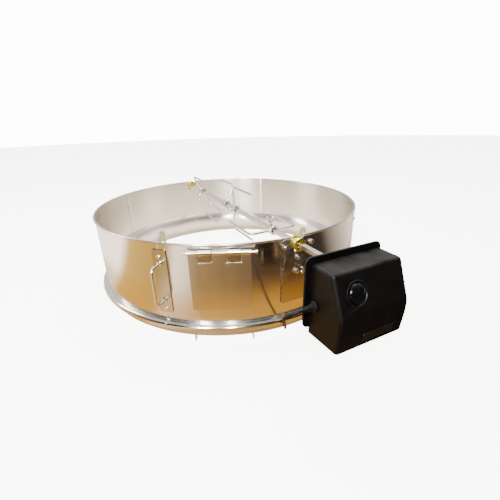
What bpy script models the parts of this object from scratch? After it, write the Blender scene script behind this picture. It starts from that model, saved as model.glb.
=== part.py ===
"""Rotisserie ring kit for a 22.5 inch kettle grill.

Frame: metres, +Z up, z = 0 is the table the ring stands on, +X runs along the
spit towards the motor.  The middle of the whole kit's box is above the origin.
Heights named *_LEVEL are measured from the table.
"""
import math

import bmesh
import bpy
from mathutils import Matrix, Vector

for old in list(bpy.data.objects):
    bpy.data.objects.remove(old, do_unlink=True)

# ------------------------------------------------------------------ ring sizes
RING_DIAMETER = 0.575        # outside of the wall
WALL_THICK = 0.0012
WALL_HEIGHT = 0.145          # bead top to rim top
SEAT_LEVEL = 0.043           # bead top above the table
RIM_ROLL_RADIUS = 0.0021
BEAD_RADIUS = 0.0065         # half of the bead's height
BEAD_FLAT = 0.0045           # flat run before the bead turns round
BAND_THICK = 0.0010
BAND_TOP = 0.037             # above the bead top
BAND_BOTTOM = -0.027
TAB_WIDTH = 0.018
TAB_THICK = 0.0015
TAB_TOP = 0.008
TAB_LOW = -0.022             # foot of the tab's flange
FIN_DEPTH = 0.012            # tab's fin, inward from the band
TAB_ANGLES = (-36.0, -15.0, 84.0, 105.0, 204.0, 225.0)
WALL_STEPS = 12              # facets in a quarter
GAP = 0.0003                 # air left between pieces that touch
SEAM_GAP = 0.0004            # slit between two wall quarters

# ----------------------------------------------------- seam plates and handles
PLATE_WIDTH = 0.026
PLATE_LOW = 0.016
PLATE_HIGH = 0.132
PLATE_THICK = 0.0015
HANDLE_WIRE = 0.0024         # radius
HANDLE_REACH = 0.0255
HANDLE_LOW = 0.0405
HANDLE_HIGH = 0.108
HANDLE_BEND = 0.010

# ------------------------------------------------------------------------ door
DOOR_ANGLE = -25.2
DOOR_WIDTH = 0.098
DOOR_LOW = 0.030
DOOR_THICK = 0.0015
DOOR_STAND = 0.0012          # door's back off the wall
PIN_LEVEL = 0.132
PIN_RADIUS = 0.0020
EYE_BORE = 0.0023
CUTOUT_WIDTH = 0.0236
CUTOUT_CENTRE = 0.0225
CUTOUT_LOW = 0.114
WINDOW_WIDTH = 0.080
WINDOW_LOW = 0.042
WINDOW_HIGH = 0.106

# -------------------------------------------------------------- spit and forks
SPIT_LEVEL = 0.132           # above the bead top
SPIT_SIDE = 0.008
SPIT_PAST_WALL = 0.0345      # spit's far end beyond the wall
SPIT_IN_MOTOR = 0.0145       # spit's near end beyond the motor's back face
BUSHING_RADIUS = 0.0110
GROOVE_RADIUS = 0.0087
NOTCH_RADIUS = 0.0092
BUSHING_END = 0.006          # length of each collar
ROD_PLAY = 0.00024           # round holes over the square rod's corners
FORK_HALF_SPAN = 0.048
FORK_PRONG = 0.097
FORK_WIRE = 0.0025
HUB_RADIUS = 0.009
HUB_LENGTH = 0.020
# name, place along the spit, way the prongs point, turn of the fork
FORKS = (
    ("a", -0.180, 1, 28.0),
    ("b", -0.010, -1, 152.0),
    ("c", 0.045, 1, 0.0),
    ("d", 0.210, -1, -90.0),
)

# ------------------------------------------------------------ motor bracketing
EAR_HALF = 0.032
EAR_LOW = 0.100
EAR_HIGH = 0.143
EAR_THICK = 0.002
EAR_STAND = 0.0038           # clears the rolled rim
TONGUE_HALF = 0.024
TONGUE_LOW = 0.072
TONGUE_HIGH = 0.116
TONGUE_THICK = 0.002
TONGUE_STAND = 0.0015
BACKING_HALF = 0.027
BACKING_LOW = 0.025
BACKING_HIGH = 0.092
BACKING_THICK = 0.0008
BACKING_STAND = 0.0004

# ----------------------------------------------------------------------- motor
MOTOR_REACH = 0.1075         # motor's back face beyond the wall
MOTOR_PLATE_THICK = 0.003
MOTOR_PLATE_HALF = 0.063
MOTOR_PLATE_SHIFT = 0.001
MOTOR_PLATE_LOW = 0.0576
MOTOR_PLATE_HIGH = 0.1606
HOUSING_HALF = 0.058
HOUSING_SHIFT = 0.005
HOUSING_LOW = 0.047
HOUSING_HIGH = 0.151
HOUSING_TOP_DEPTH = 0.0365
HOUSING_DEEPEST = 0.0575
HOUSING_WALL = 0.0025
HOUSING_TAPER = 0.035
KNOB_ACROSS = -0.021
KNOB_LEVEL = 0.1248
KNOB_RADIUS = 0.0130
WELL_RADIUS = 0.0150
GLAND_BACK = 0.0102          # gland beyond the housing's back
GLAND_LEVEL = 0.096
GEAR_MODULE = 0.001
GEAR_TEETH = 26
PINION_TEETH = 13

# ------------------------------------------------------------------------ cord
CORD_RADIUS = 0.0022
CORD_PITCH = 0.0045          # rise of one turn of the coil
CORD_TURNS = 6
COIL_RADIUS = 0.0255         # to the middle of the cord
COIL_CENTRE = (0.185, 0.0295)
SLEEVE_END = 0.016           # strain relief, from the housing
EDGE_BEARING = -3.1          # where the cord slips under the band's edge
UNDER_EDGE = 0.0125          # cord's middle there, above the table
DROP_BEND = 0.018            # bend radii along the route
FLOOR_BEND = 0.020
RUN_BEND = 0.026
TAIL_LENGTH = 0.075          # coil to plug

# ------------------------------------------------------------- derived lengths
WALL_OUT = RING_DIAMETER / 2
WALL_IN = WALL_OUT - WALL_THICK
BAND_OUT = WALL_IN - GAP
BAND_IN = BAND_OUT - BAND_THICK
MOTOR_STAND = WALL_OUT + MOTOR_REACH
SPIT_FAR_END = WALL_OUT + SPIT_PAST_WALL
SPIT_NEAR_END = MOTOR_STAND + SPIT_IN_MOTOR
ROD_BORE = SPIT_SIDE * math.sqrt(0.5) + ROD_PLAY
HOUSING_BACK = MOTOR_STAND + MOTOR_PLATE_THICK + GAP
GLAND_X = HOUSING_BACK + GLAND_BACK
HOUSING_FRONT = HOUSING_BACK + HOUSING_DEEPEST
RING_X = -(HOUSING_FRONT - SPIT_FAR_END) / 2
EAR_FACE = WALL_OUT + EAR_STAND + EAR_THICK
RING = Matrix.Translation((RING_X, 0.0, SEAT_LEVEL))
FACET = math.cos(math.pi / (4 * WALL_STEPS))


def material(name, colour, metallic, roughness):
    made = bpy.data.materials.new(name)
    made.use_nodes = True
    shader = made.node_tree.nodes["Principled BSDF"]
    shader.inputs["Base Color"].default_value = (*colour, 1.0)
    shader.inputs["Metallic"].default_value = metallic
    shader.inputs["Roughness"].default_value = roughness
    return made


STEEL = (0.62, 0.60, 0.57)
BRASS = (0.72, 0.50, 0.20)
DARK = (0.035, 0.033, 0.032)


def place(name, bm, colour, metallic, roughness, origin=(0.0, 0.0, 0.0), smooth=False):
    """Turn a closed bmesh into an object whose origin is the given point."""
    bmesh.ops.recalc_face_normals(bm, faces=bm.faces[:])
    bmesh.ops.translate(bm, verts=bm.verts[:], vec=-Vector(origin))
    mesh = bpy.data.meshes.new(name)
    bm.to_mesh(mesh)
    bm.free()
    if smooth:
        mesh.shade_smooth()
        mesh.set_sharp_from_angle(angle=math.radians(35))
    mesh.materials.append(material(name + "_look", colour, metallic, roughness))
    made = bpy.data.objects.new(name, mesh)
    made.location = origin
    bpy.context.collection.objects.link(made)
    return made


def cutter(name, bm):
    bmesh.ops.recalc_face_normals(bm, faces=bm.faces[:])
    mesh = bpy.data.meshes.new(name)
    bm.to_mesh(mesh)
    bm.free()
    made = bpy.data.objects.new(name, mesh)
    made.hide_render = True
    made.display_type = "WIRE"
    bpy.context.collection.objects.link(made)
    return made


def combine(target, tool, operation):
    step = target.modifiers.new(operation.lower(), "BOOLEAN")
    step.operation = operation
    step.solver = "EXACT"
    step.object = tool


def at_ring(angle):
    """Local X points out of the ring at this angle, Y along the rim, Z up."""
    return RING @ Matrix.Rotation(math.radians(angle), 4, "Z")


def arc(centre, radius, start, end, steps):
    points = []
    for index in range(steps + 1):
        turn = math.radians(start + (end - start) * index / steps)
        across = centre[0] + radius * math.cos(turn)
        points.append((across, centre[1] + radius * math.sin(turn)))
    return points


def rounded(corners, steps=4):
    """Outline from (x, y, radius) corners, each rounded off."""
    points = []
    count = len(corners)
    for index, (x, y, radius) in enumerate(corners):
        here = Vector((x, y))
        if radius == 0.0:
            points.append((x, y))
            continue
        before = Vector(corners[index - 1][:2]) - here
        after = Vector(corners[(index + 1) % count][:2]) - here
        before.normalize()
        after.normalize()
        half = before.angle(after) / 2
        reach = radius / math.tan(half)
        middle = here + (before + after).normalized() * radius / math.sin(half)
        first = here + before * reach - middle
        last = here + after * reach - middle
        start = math.atan2(first.y, first.x)
        turn = math.atan2(last.y, last.x) - start
        turn = (turn + math.pi) % (2 * math.pi) - math.pi
        for step in range(steps + 1):
            angle = start + turn * step / steps
            px = middle.x + radius * math.cos(angle)
            points.append((px, middle.y + radius * math.sin(angle)))
    return points


def prism(bm, outline, low, high, matrix):
    """Outline in local YZ, drawn out along local X from low to high."""
    ring = [bm.verts.new((low, y, z)) for y, z in outline]
    face = bm.faces.new(ring)
    drawn = bmesh.ops.extrude_face_region(bm, geom=[face])["geom"]
    moved = [part for part in drawn if isinstance(part, bmesh.types.BMVert)]
    bmesh.ops.translate(bm, verts=moved, vec=(high - low, 0.0, 0.0))
    bmesh.ops.transform(bm, matrix=matrix, verts=ring + moved)


def block(bm, low, high, matrix):
    size = [b - a for a, b in zip(low, high)]
    middle = [(a + b) / 2 for a, b in zip(low, high)]
    shape = Matrix.Translation(middle) @ Matrix.Diagonal((*size, 1.0))
    bmesh.ops.create_cube(bm, size=1.0, matrix=matrix @ shape)


def turned(bm, profile, steps, matrix, hollow=False):
    """Profile (radius, along) spun round local X; hollow closes on itself."""
    ring = [bm.verts.new((along, radius, 0.0)) for radius, along in profile]
    edges = [bm.edges.new(pair) for pair in zip(ring, ring[1:])]
    if hollow:
        edges.append(bm.edges.new((ring[-1], ring[0])))
    before = set(bm.verts) - set(ring)
    bmesh.ops.spin(
        bm, geom=ring + edges, cent=(0.0, 0.0, 0.0), axis=(1.0, 0.0, 0.0),
        angle=math.tau, steps=steps, use_merge=True,
    )
    fresh = [vert for vert in bm.verts if vert not in before]
    bmesh.ops.remove_doubles(bm, verts=fresh, dist=0.00001)
    fresh = [vert for vert in bm.verts if vert not in before]
    bmesh.ops.transform(bm, matrix=matrix, verts=fresh)


def rod(bm, radius, low, high, steps, matrix):
    turned(bm, [(0.0, low), (radius, low), (radius, high), (0.0, high)], steps, matrix)


def bent(points, radius, steps=4):
    """Path through the points with every inner corner rounded."""
    path = [Vector(points[0])]
    for index in range(1, len(points) - 1):
        here = Vector(points[index])
        before = (Vector(points[index - 1]) - here).normalized()
        after = (Vector(points[index + 1]) - here).normalized()
        half = before.angle(after) / 2
        reach = radius / math.tan(half)
        middle = here + (before + after).normalized() * radius / math.sin(half)
        start = (here + before * reach - middle).normalized()
        end = (here + after * reach - middle).normalized()
        for step in range(steps + 1):
            path.append(middle + start.slerp(end, step / steps) * radius)
    path.append(Vector(points[-1]))
    return path


def wire(bm, path, radii, sides, matrix):
    """Round wire along a path, closed at both ends."""
    rings = []
    heading = (path[1] - path[0]).normalized()
    side = heading.orthogonal().normalized()
    for index, point in enumerate(path):
        ahead = path[min(index + 1, len(path) - 1)]
        behind = path[max(index - 1, 0)]
        fresh = (ahead - behind).normalized()
        side = heading.rotation_difference(fresh) @ side
        heading = fresh
        up = heading.cross(side)
        ring = []
        for turn in range(sides):
            angle = math.tau * turn / sides
            offset = side * math.cos(angle) + up * math.sin(angle)
            ring.append(bm.verts.new(matrix @ (point + offset * radii[index])))
        rings.append(ring)
    for first, second in zip(rings, rings[1:]):
        for turn in range(sides):
            after = (turn + 1) % sides
            bm.faces.new((first[turn], first[after], second[after], second[turn]))
    bm.faces.new(rings[0][::-1])
    bm.faces.new(rings[-1])


# ---------------------------------------------------------------- wall section
def wall_section():
    """Sheet section (radius, height): rolled rim, wall, seat bead."""
    roll = WALL_IN + RIM_ROLL_RADIUS
    tuck = math.degrees(math.acos((WALL_THICK - RIM_ROLL_RADIUS) / RIM_ROLL_RADIUS))
    top = WALL_HEIGHT - RIM_ROLL_RADIUS * math.sin(math.radians(67.5))
    nose = WALL_OUT + BEAD_FLAT
    points = [(WALL_IN, top)]
    points += arc((roll, top), RIM_ROLL_RADIUS, 112.5, -67.5, 4)
    points += arc((roll, top), RIM_ROLL_RADIUS, -tuck, -tuck, 1)[:1]
    points.append((WALL_OUT, 0.0015))
    points.append((WALL_OUT + 0.0015, 0.0))
    points += arc((nose, -BEAD_RADIUS), BEAD_RADIUS, 90.0, -90.0, 5)
    points.append((WALL_IN, -2 * BEAD_RADIUS))
    points.append((WALL_IN, -2 * BEAD_RADIUS + WALL_THICK))
    points += arc((nose, -BEAD_RADIUS), BEAD_RADIUS - WALL_THICK, -90.0, 90.0, 3)
    points.append((WALL_IN, -WALL_THICK))
    return points


def wall_quarter(name, start):
    bm = bmesh.new()
    slit = math.degrees(SEAM_GAP / 2 / WALL_OUT)
    section = [bm.verts.new((radius, 0.0, height)) for radius, height in wall_section()]
    face = bm.faces.new(section)
    bmesh.ops.rotate(
        bm, verts=section, cent=(0.0, 0.0, 0.0),
        matrix=Matrix.Rotation(math.radians(start + slit), 3, "Z"),
    )
    bmesh.ops.spin(
        bm, geom=[face, *face.edges, *section], cent=(0.0, 0.0, 0.0),
        axis=(0.0, 0.0, 1.0), angle=math.radians(90.0 - 2 * slit), steps=WALL_STEPS,
    )
    bmesh.ops.transform(bm, matrix=RING, verts=bm.verts[:])
    return place(name, bm, STEEL, 1.0, 0.22, smooth=True)


wall_front = wall_quarter("wall_front", -45.0)
wall_left = wall_quarter("wall_left", 45.0)
wall_back = wall_quarter("wall_back", 135.0)
wall_right = wall_quarter("wall_right", 225.0)

# spit notch, charcoal window and bolt holes of the front quarter
EAR_BOLT_ACROSS = 0.0255
EAR_BOLT_LEVEL = 0.1315
UPPER_BOLT_LEVEL = 0.1095
LOWER_BOLT_LEVEL = 0.0835
BOLT_RADIUS = 0.0025
BOLT_HOLE = 0.0029
WALL_NOTCH_HALF = 0.0125
WALL_NOTCH_LOW = 0.119


def notch(bm, angle):
    low = (WALL_OUT - 0.012, -WALL_NOTCH_HALF, WALL_NOTCH_LOW)
    high = (WALL_OUT + 0.012, WALL_NOTCH_HALF, WALL_HEIGHT + 0.01)
    block(bm, low, high, at_ring(angle))


def bolt_holes(bm, spots, low, high):
    for across, level in spots:
        shift = Matrix.Translation((0.0, across, level))
        rod(bm, BOLT_HOLE, low, high, 8, RING @ shift)


FRONT_BOLTS = (
    (-EAR_BOLT_ACROSS, EAR_BOLT_LEVEL),
    (EAR_BOLT_ACROSS, EAR_BOLT_LEVEL),
    (0.0, UPPER_BOLT_LEVEL),
    (0.0, LOWER_BOLT_LEVEL),
)
tool = bmesh.new()
notch(tool, 0.0)
block(
    tool, (WALL_OUT - 0.02, -WINDOW_WIDTH / 2, WINDOW_LOW),
    (WALL_OUT + 0.02, WINDOW_WIDTH / 2, WINDOW_HIGH), at_ring(DOOR_ANGLE),
)
bolt_holes(tool, FRONT_BOLTS, WALL_OUT - 0.01, WALL_OUT + 0.01)
combine(wall_front, cutter("wall_front_openings", tool), "DIFFERENCE")
tool = bmesh.new()
notch(tool, 180.0)
combine(wall_back, cutter("wall_back_openings", tool), "DIFFERENCE")

# ------------------------------------------------------------------ inner band
bm = bmesh.new()
corners = [(BAND_IN, BAND_BOTTOM), (BAND_OUT, BAND_BOTTOM)]
corners += [(BAND_OUT, BAND_TOP), (BAND_IN, BAND_TOP)]
upright = Matrix.Rotation(math.radians(-90), 4, "Y")
turned(bm, corners, 4 * WALL_STEPS, upright, hollow=True)
bmesh.ops.rotate(
    bm, verts=bm.verts[:], cent=(0.0, 0.0, 0.0),
    matrix=Matrix.Rotation(math.radians(45.0), 3, "Z"),
)
bmesh.ops.transform(bm, matrix=RING, verts=bm.verts[:])
place("inner_band", bm, STEEL, 1.0, 0.28, smooth=True)

# --------------------------------------------------------------- locating tabs
TAB_FACE = BAND_IN * FACET - GAP - TAB_WIDTH ** 2 / (8 * BAND_IN) - 0.0001
for index, angle in enumerate(TAB_ANGLES):
    half = TAB_WIDTH / 2
    outline = rounded((
        (-half, TAB_LOW, 0.003), (half, TAB_LOW, 0.003),
        (half, TAB_TOP, 0.003), (-half, TAB_TOP, 0.003),
    ), 3)
    bm = bmesh.new()
    prism(bm, outline, TAB_FACE - TAB_THICK, TAB_FACE, at_ring(angle))
    tab = place(f"locating_tab_{index + 1}", bm, STEEL, 1.0, 0.3)
    tool = bmesh.new()
    low = (TAB_FACE - FIN_DEPTH, -TAB_THICK / 2, -SEAT_LEVEL)
    high = (TAB_FACE - TAB_THICK / 2, TAB_THICK / 2, TAB_TOP - 0.004)
    block(tool, low, high, at_ring(angle))
    combine(tab, cutter(f"tab_fin_{index + 1}", tool), "UNION")

# ----------------------------------------------------------------- seam plates
for index, angle in enumerate((-45.0, 45.0, 135.0, 225.0)):
    half = PLATE_WIDTH / 2
    outline = rounded((
        (-half, PLATE_LOW, 0.003), (half, PLATE_LOW, 0.003),
        (half, PLATE_HIGH, 0.003), (-half, PLATE_HIGH, 0.003),
    ), 2)
    bm = bmesh.new()
    face = WALL_OUT + 0.0004
    prism(bm, outline, face, face + PLATE_THICK, at_ring(angle))
    place(f"seam_plate_{index + 1}", bm, STEEL, 1.0, 0.25)

# --------------------------------------------------------------------- handles
for index, angle in enumerate((-45.0, 135.0)):
    foot = WALL_OUT + 0.0004 + PLATE_THICK + GAP
    reach = WALL_OUT + HANDLE_REACH
    path = bent((
        (foot, 0.0, HANDLE_LOW), (reach, 0.0, HANDLE_LOW),
        (reach, 0.0, HANDLE_HIGH), (foot, 0.0, HANDLE_HIGH),
    ), HANDLE_BEND, 5)
    bm = bmesh.new()
    wire(bm, path, [HANDLE_WIRE] * len(path), 8, at_ring(angle))
    place(f"handle_{index + 1}", bm, STEEL, 1.0, 0.2, smooth=True)

# ------------------------------------------------------------------------ door
DOOR_BACK = WALL_OUT + DOOR_STAND
EYE_OUT = EYE_BORE + DOOR_THICK
PIN_X = DOOR_BACK + EYE_OUT
door_frame = at_ring(DOOR_ANGLE)
pin_point = door_frame @ Vector((PIN_X, 0.0, PIN_LEVEL))
section = [(DOOR_BACK, DOOR_LOW)]
section += arc((PIN_X, PIN_LEVEL), EYE_OUT, 180.0, -90.0, 9)
section += arc((PIN_X, PIN_LEVEL), EYE_BORE, -90.0, 180.0, 9)
section.append((DOOR_BACK + DOOR_THICK, DOOR_LOW))


def across_prism(bm, outline, half, matrix):
    """Outline in local XZ, drawn out along local Y by half each way."""
    ring = [bm.verts.new((x, -half, z)) for x, z in outline]
    face = bm.faces.new(ring)
    drawn = bmesh.ops.extrude_face_region(bm, geom=[face])["geom"]
    moved = [part for part in drawn if isinstance(part, bmesh.types.BMVert)]
    bmesh.ops.translate(bm, verts=moved, vec=(0.0, 2 * half, 0.0))
    bmesh.ops.transform(bm, matrix=matrix, verts=ring + moved)


bm = bmesh.new()
across_prism(bm, section, DOOR_WIDTH / 2, door_frame)
door = place("door", bm, STEEL, 1.0, 0.24, origin=pin_point, smooth=True)
tool = bmesh.new()
for side in (-1, 1):
    middle = side * CUTOUT_CENTRE
    low = (WALL_OUT - 0.01, middle - CUTOUT_WIDTH / 2, CUTOUT_LOW)
    high = (WALL_OUT + 0.02, middle + CUTOUT_WIDTH / 2, PIN_LEVEL + 0.02)
    block(tool, low, high, door_frame)
combine(door, cutter("door_cutouts", tool), "DIFFERENCE")

# lugs stand in the cut-outs and carry the pin
LUG_BACK = WALL_OUT + 0.0004
LUG_LOW = CUTOUT_LOW + 0.002
LUG_HALF = CUTOUT_WIDTH / 2 - 0.0018
LUG_THICK = PIN_X - EYE_BORE - LUG_BACK
for index, side in enumerate((-1, 1)):
    section = [(LUG_BACK, LUG_LOW)]
    section += arc((PIN_X, PIN_LEVEL), PIN_X - LUG_BACK, 180.0, -80.0, 8)
    section += arc((PIN_X, PIN_LEVEL), EYE_BORE, -80.0, 180.0, 8)
    section.append((LUG_BACK + LUG_THICK, LUG_LOW))
    bm = bmesh.new()
    shift = Matrix.Translation((0.0, side * CUTOUT_CENTRE, 0.0))
    across_prism(bm, section, LUG_HALF, door_frame @ shift)
    place(f"door_lug_{index + 1}", bm, STEEL, 1.0, 0.3, smooth=True)

PIN_LEFT = -0.055
PIN_RIGHT = 0.0565
HEAD_LENGTH = 0.003
bm = bmesh.new()
along_y = Matrix.Rotation(math.radians(90), 4, "Z")
profile = [(0.0, PIN_LEFT), (PIN_RADIUS, PIN_LEFT), (PIN_RADIUS, PIN_RIGHT)]
profile += [(0.0035, PIN_RIGHT), (0.0035, PIN_RIGHT + HEAD_LENGTH)]
profile.append((0.0, PIN_RIGHT + HEAD_LENGTH))
pin_shift = Matrix.Translation((PIN_X, 0.0, PIN_LEVEL))
turned(bm, profile, 12, door_frame @ pin_shift @ along_y)
place("door_pin", bm, STEEL, 1.0, 0.2, origin=pin_point, smooth=True)


# ------------------------------------------------------- brackets for the spit
def ear_outline(half, low):
    """Plate with two rounded ears and a round-bottomed notch between them."""
    ear = min(0.009, (half - NOTCH_RADIUS) / 2.4)
    outline = rounded((
        (-half, low, 0.006), (half, low, 0.006), (half, EAR_HIGH, ear),
        (NOTCH_RADIUS, EAR_HIGH, min(ear, 0.006)),
    ), 4)
    outline += arc((0.0, SPIT_LEVEL), NOTCH_RADIUS, 0.0, -180.0, 8)
    outline += rounded((
        (-NOTCH_RADIUS, SPIT_LEVEL - 0.02, 0.0), (-NOTCH_RADIUS, EAR_HIGH, min(ear, 0.006)),
        (-half, EAR_HIGH, ear), (-half, low, 0.0),
    ), 4)[1:-1]
    return outline


bm = bmesh.new()
prism(bm, ear_outline(EAR_HALF, EAR_LOW), EAR_FACE - EAR_THICK, EAR_FACE, at_ring(0.0))
ear_plate = place("ear_plate", bm, STEEL, 1.0, 0.28)
tool = bmesh.new()
bolt_holes(tool, FRONT_BOLTS[:3], EAR_FACE - 0.01, EAR_FACE + 0.01)
combine(ear_plate, cutter("ear_plate_holes", tool), "DIFFERENCE")

bm = bmesh.new()
prism(bm, ear_outline(0.024, 0.092), EAR_FACE - EAR_THICK, EAR_FACE, at_ring(180.0))
place("far_ear_plate", bm, STEEL, 1.0, 0.28)

bm = bmesh.new()
low_x = WALL_OUT + BACKING_STAND
outline = rounded((
    (-BACKING_HALF, BACKING_LOW, 0.003), (BACKING_HALF, BACKING_LOW, 0.003),
    (BACKING_HALF, BACKING_HIGH, 0.003), (-BACKING_HALF, BACKING_HIGH, 0.003),
), 2)
prism(bm, outline, low_x, low_x + BACKING_THICK, at_ring(0.0))
backing = place("backing_plate", bm, STEEL, 1.0, 0.24)
tool = bmesh.new()
bolt_holes(tool, FRONT_BOLTS[3:], WALL_OUT - 0.01, WALL_OUT + 0.01)
combine(backing, cutter("backing_hole", tool), "DIFFERENCE")

# hanger: tongue on the ring, arm, flange on the motor's back
TONGUE_BACK = WALL_OUT + TONGUE_STAND
TONGUE_FACE = TONGUE_BACK + TONGUE_THICK
ARM_LOW = 0.0895
ARM_HIGH = 0.0945
ARM_NEAR_SIDE = 0.005
ARM_FAR_SIDE = 0.022
FLANGE_HIGH = 0.112
FLANGE_LOW = 0.066
FLANGE_THICK = 0.003
FLANGE_FACE = MOTOR_STAND - GAP
bm = bmesh.new()
outline = rounded((
    (-TONGUE_HALF + 0.008, TONGUE_LOW, 0.002), (TONGUE_HALF - 0.008, TONGUE_LOW, 0.002),
    (TONGUE_HALF, TONGUE_LOW + 0.008, 0.002), (TONGUE_HALF, TONGUE_HIGH, 0.003),
    (-TONGUE_HALF, TONGUE_HIGH, 0.003), (-TONGUE_HALF, TONGUE_LOW + 0.008, 0.002),
), 2)
prism(bm, outline, TONGUE_BACK, TONGUE_FACE, at_ring(0.0))
hanger = place("motor_hanger", bm, STEEL, 1.0, 0.28)
tool = bmesh.new()
low = (TONGUE_FACE - 0.001, ARM_NEAR_SIDE, ARM_LOW)
block(tool, low, (FLANGE_FACE - 0.001, ARM_FAR_SIDE, ARM_HIGH), RING)
combine(hanger, cutter("hanger_arm", tool), "UNION")
tool = bmesh.new()
low = (FLANGE_FACE - FLANGE_THICK, -0.012, FLANGE_LOW)
block(tool, low, (FLANGE_FACE, 0.030, FLANGE_HIGH), RING)
combine(hanger, cutter("hanger_flange", tool), "UNION")
tool = bmesh.new()
bolt_holes(tool, FRONT_BOLTS[2:], WALL_OUT - 0.01, WALL_OUT + 0.02)
combine(hanger, cutter("hanger_holes", tool), "DIFFERENCE")


def bolt(name, across, level, face):
    """Domed bolt through the plates with a nut inside the ring."""
    inside = WALL_IN - math.fabs(across) * 0.1 - 0.0012
    head = face + GAP
    profile = [(0.0, inside - 0.004), (0.0042, inside - 0.004), (0.0042, inside)]
    profile += [(BOLT_RADIUS, inside), (BOLT_RADIUS, head), (0.0048, head)]
    profile += [(0.0042, head + 0.0018), (0.0024, head + 0.0027), (0.0, head + 0.003)]
    bm = bmesh.new()
    turned(bm, profile, 8, RING @ Matrix.Translation((0.0, across, level)))
    place(name, bm, STEEL, 1.0, 0.2, smooth=True)


bolt("ear_bolt_1", -EAR_BOLT_ACROSS, EAR_BOLT_LEVEL, EAR_FACE)
bolt("ear_bolt_2", EAR_BOLT_ACROSS, EAR_BOLT_LEVEL, EAR_FACE)
bolt("hanger_bolt_1", 0.0, UPPER_BOLT_LEVEL, EAR_FACE)
bolt("hanger_bolt_2", 0.0, LOWER_BOLT_LEVEL, TONGUE_FACE)

# ------------------------------------------------------------------- spit line
spit_origin = RING @ Vector((0.0, 0.0, SPIT_LEVEL))
spit = Matrix.Translation(spit_origin)
bm = bmesh.new()
half = SPIT_SIDE / 2
TIP = 0.010
block(bm, (-SPIT_FAR_END, -half, -half), (SPIT_NEAR_END - TIP, half, half), spit)
long_edges = []
for edge in bm.edges:
    run = edge.verts[0].co - edge.verts[1].co
    if math.fabs(run.x) > 0.1:
        long_edges.append(edge)
bmesh.ops.bevel(
    bm, geom=long_edges, offset=0.0006, segments=1, profile=0.5, affect="EDGES", material=-1,
)
end_x = spit_origin.x + SPIT_NEAR_END - TIP
end_face = [face for face in bm.faces if face.calc_center_median().x > end_x - 0.0001][0]
drawn = bmesh.ops.extrude_face_region(bm, geom=[end_face])["geom"]
moved = [part for part in drawn if isinstance(part, bmesh.types.BMVert)]
bmesh.ops.translate(bm, verts=moved, vec=(TIP, 0.0, 0.0))
tip_centre = spit_origin + Vector((SPIT_NEAR_END, 0.0, 0.0))
bmesh.ops.scale(
    bm, vec=(1.0, 0.45, 0.45), space=Matrix.Translation(-tip_centre), verts=moved,
)
bmesh.ops.delete(bm, geom=[face for face in bm.faces if face is end_face], context="FACES_ONLY")
place("spit_rod", bm, STEEL, 1.0, 0.2, origin=spit_origin)

GROOVE_LOW = WALL_IN - 0.0006
GROOVE_HIGH = EAR_FACE + 0.0006
for name, side in (("near", 1), ("far", -1)):
    profile = [
        (ROD_BORE, GROOVE_LOW - BUSHING_END), (BUSHING_RADIUS - 0.001, GROOVE_LOW - BUSHING_END),
        (BUSHING_RADIUS, GROOVE_LOW - BUSHING_END + 0.001), (BUSHING_RADIUS, GROOVE_LOW),
        (GROOVE_RADIUS, GROOVE_LOW), (GROOVE_RADIUS, GROOVE_HIGH),
        (BUSHING_RADIUS, GROOVE_HIGH), (BUSHING_RADIUS, GROOVE_HIGH + BUSHING_END - 0.001),
        (BUSHING_RADIUS - 0.001, GROOVE_HIGH + BUSHING_END),
        (ROD_BORE, GROOVE_HIGH + BUSHING_END),
    ]
    bm = bmesh.new()
    facing = spit @ Matrix.Rotation(0.0 if side > 0 else math.pi, 4, "Z")
    turned(bm, profile, 12, facing, hollow=True)
    place(f"bushing_{name}", bm, BRASS, 1.0, 0.3, origin=spit_origin, smooth=True)

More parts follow.
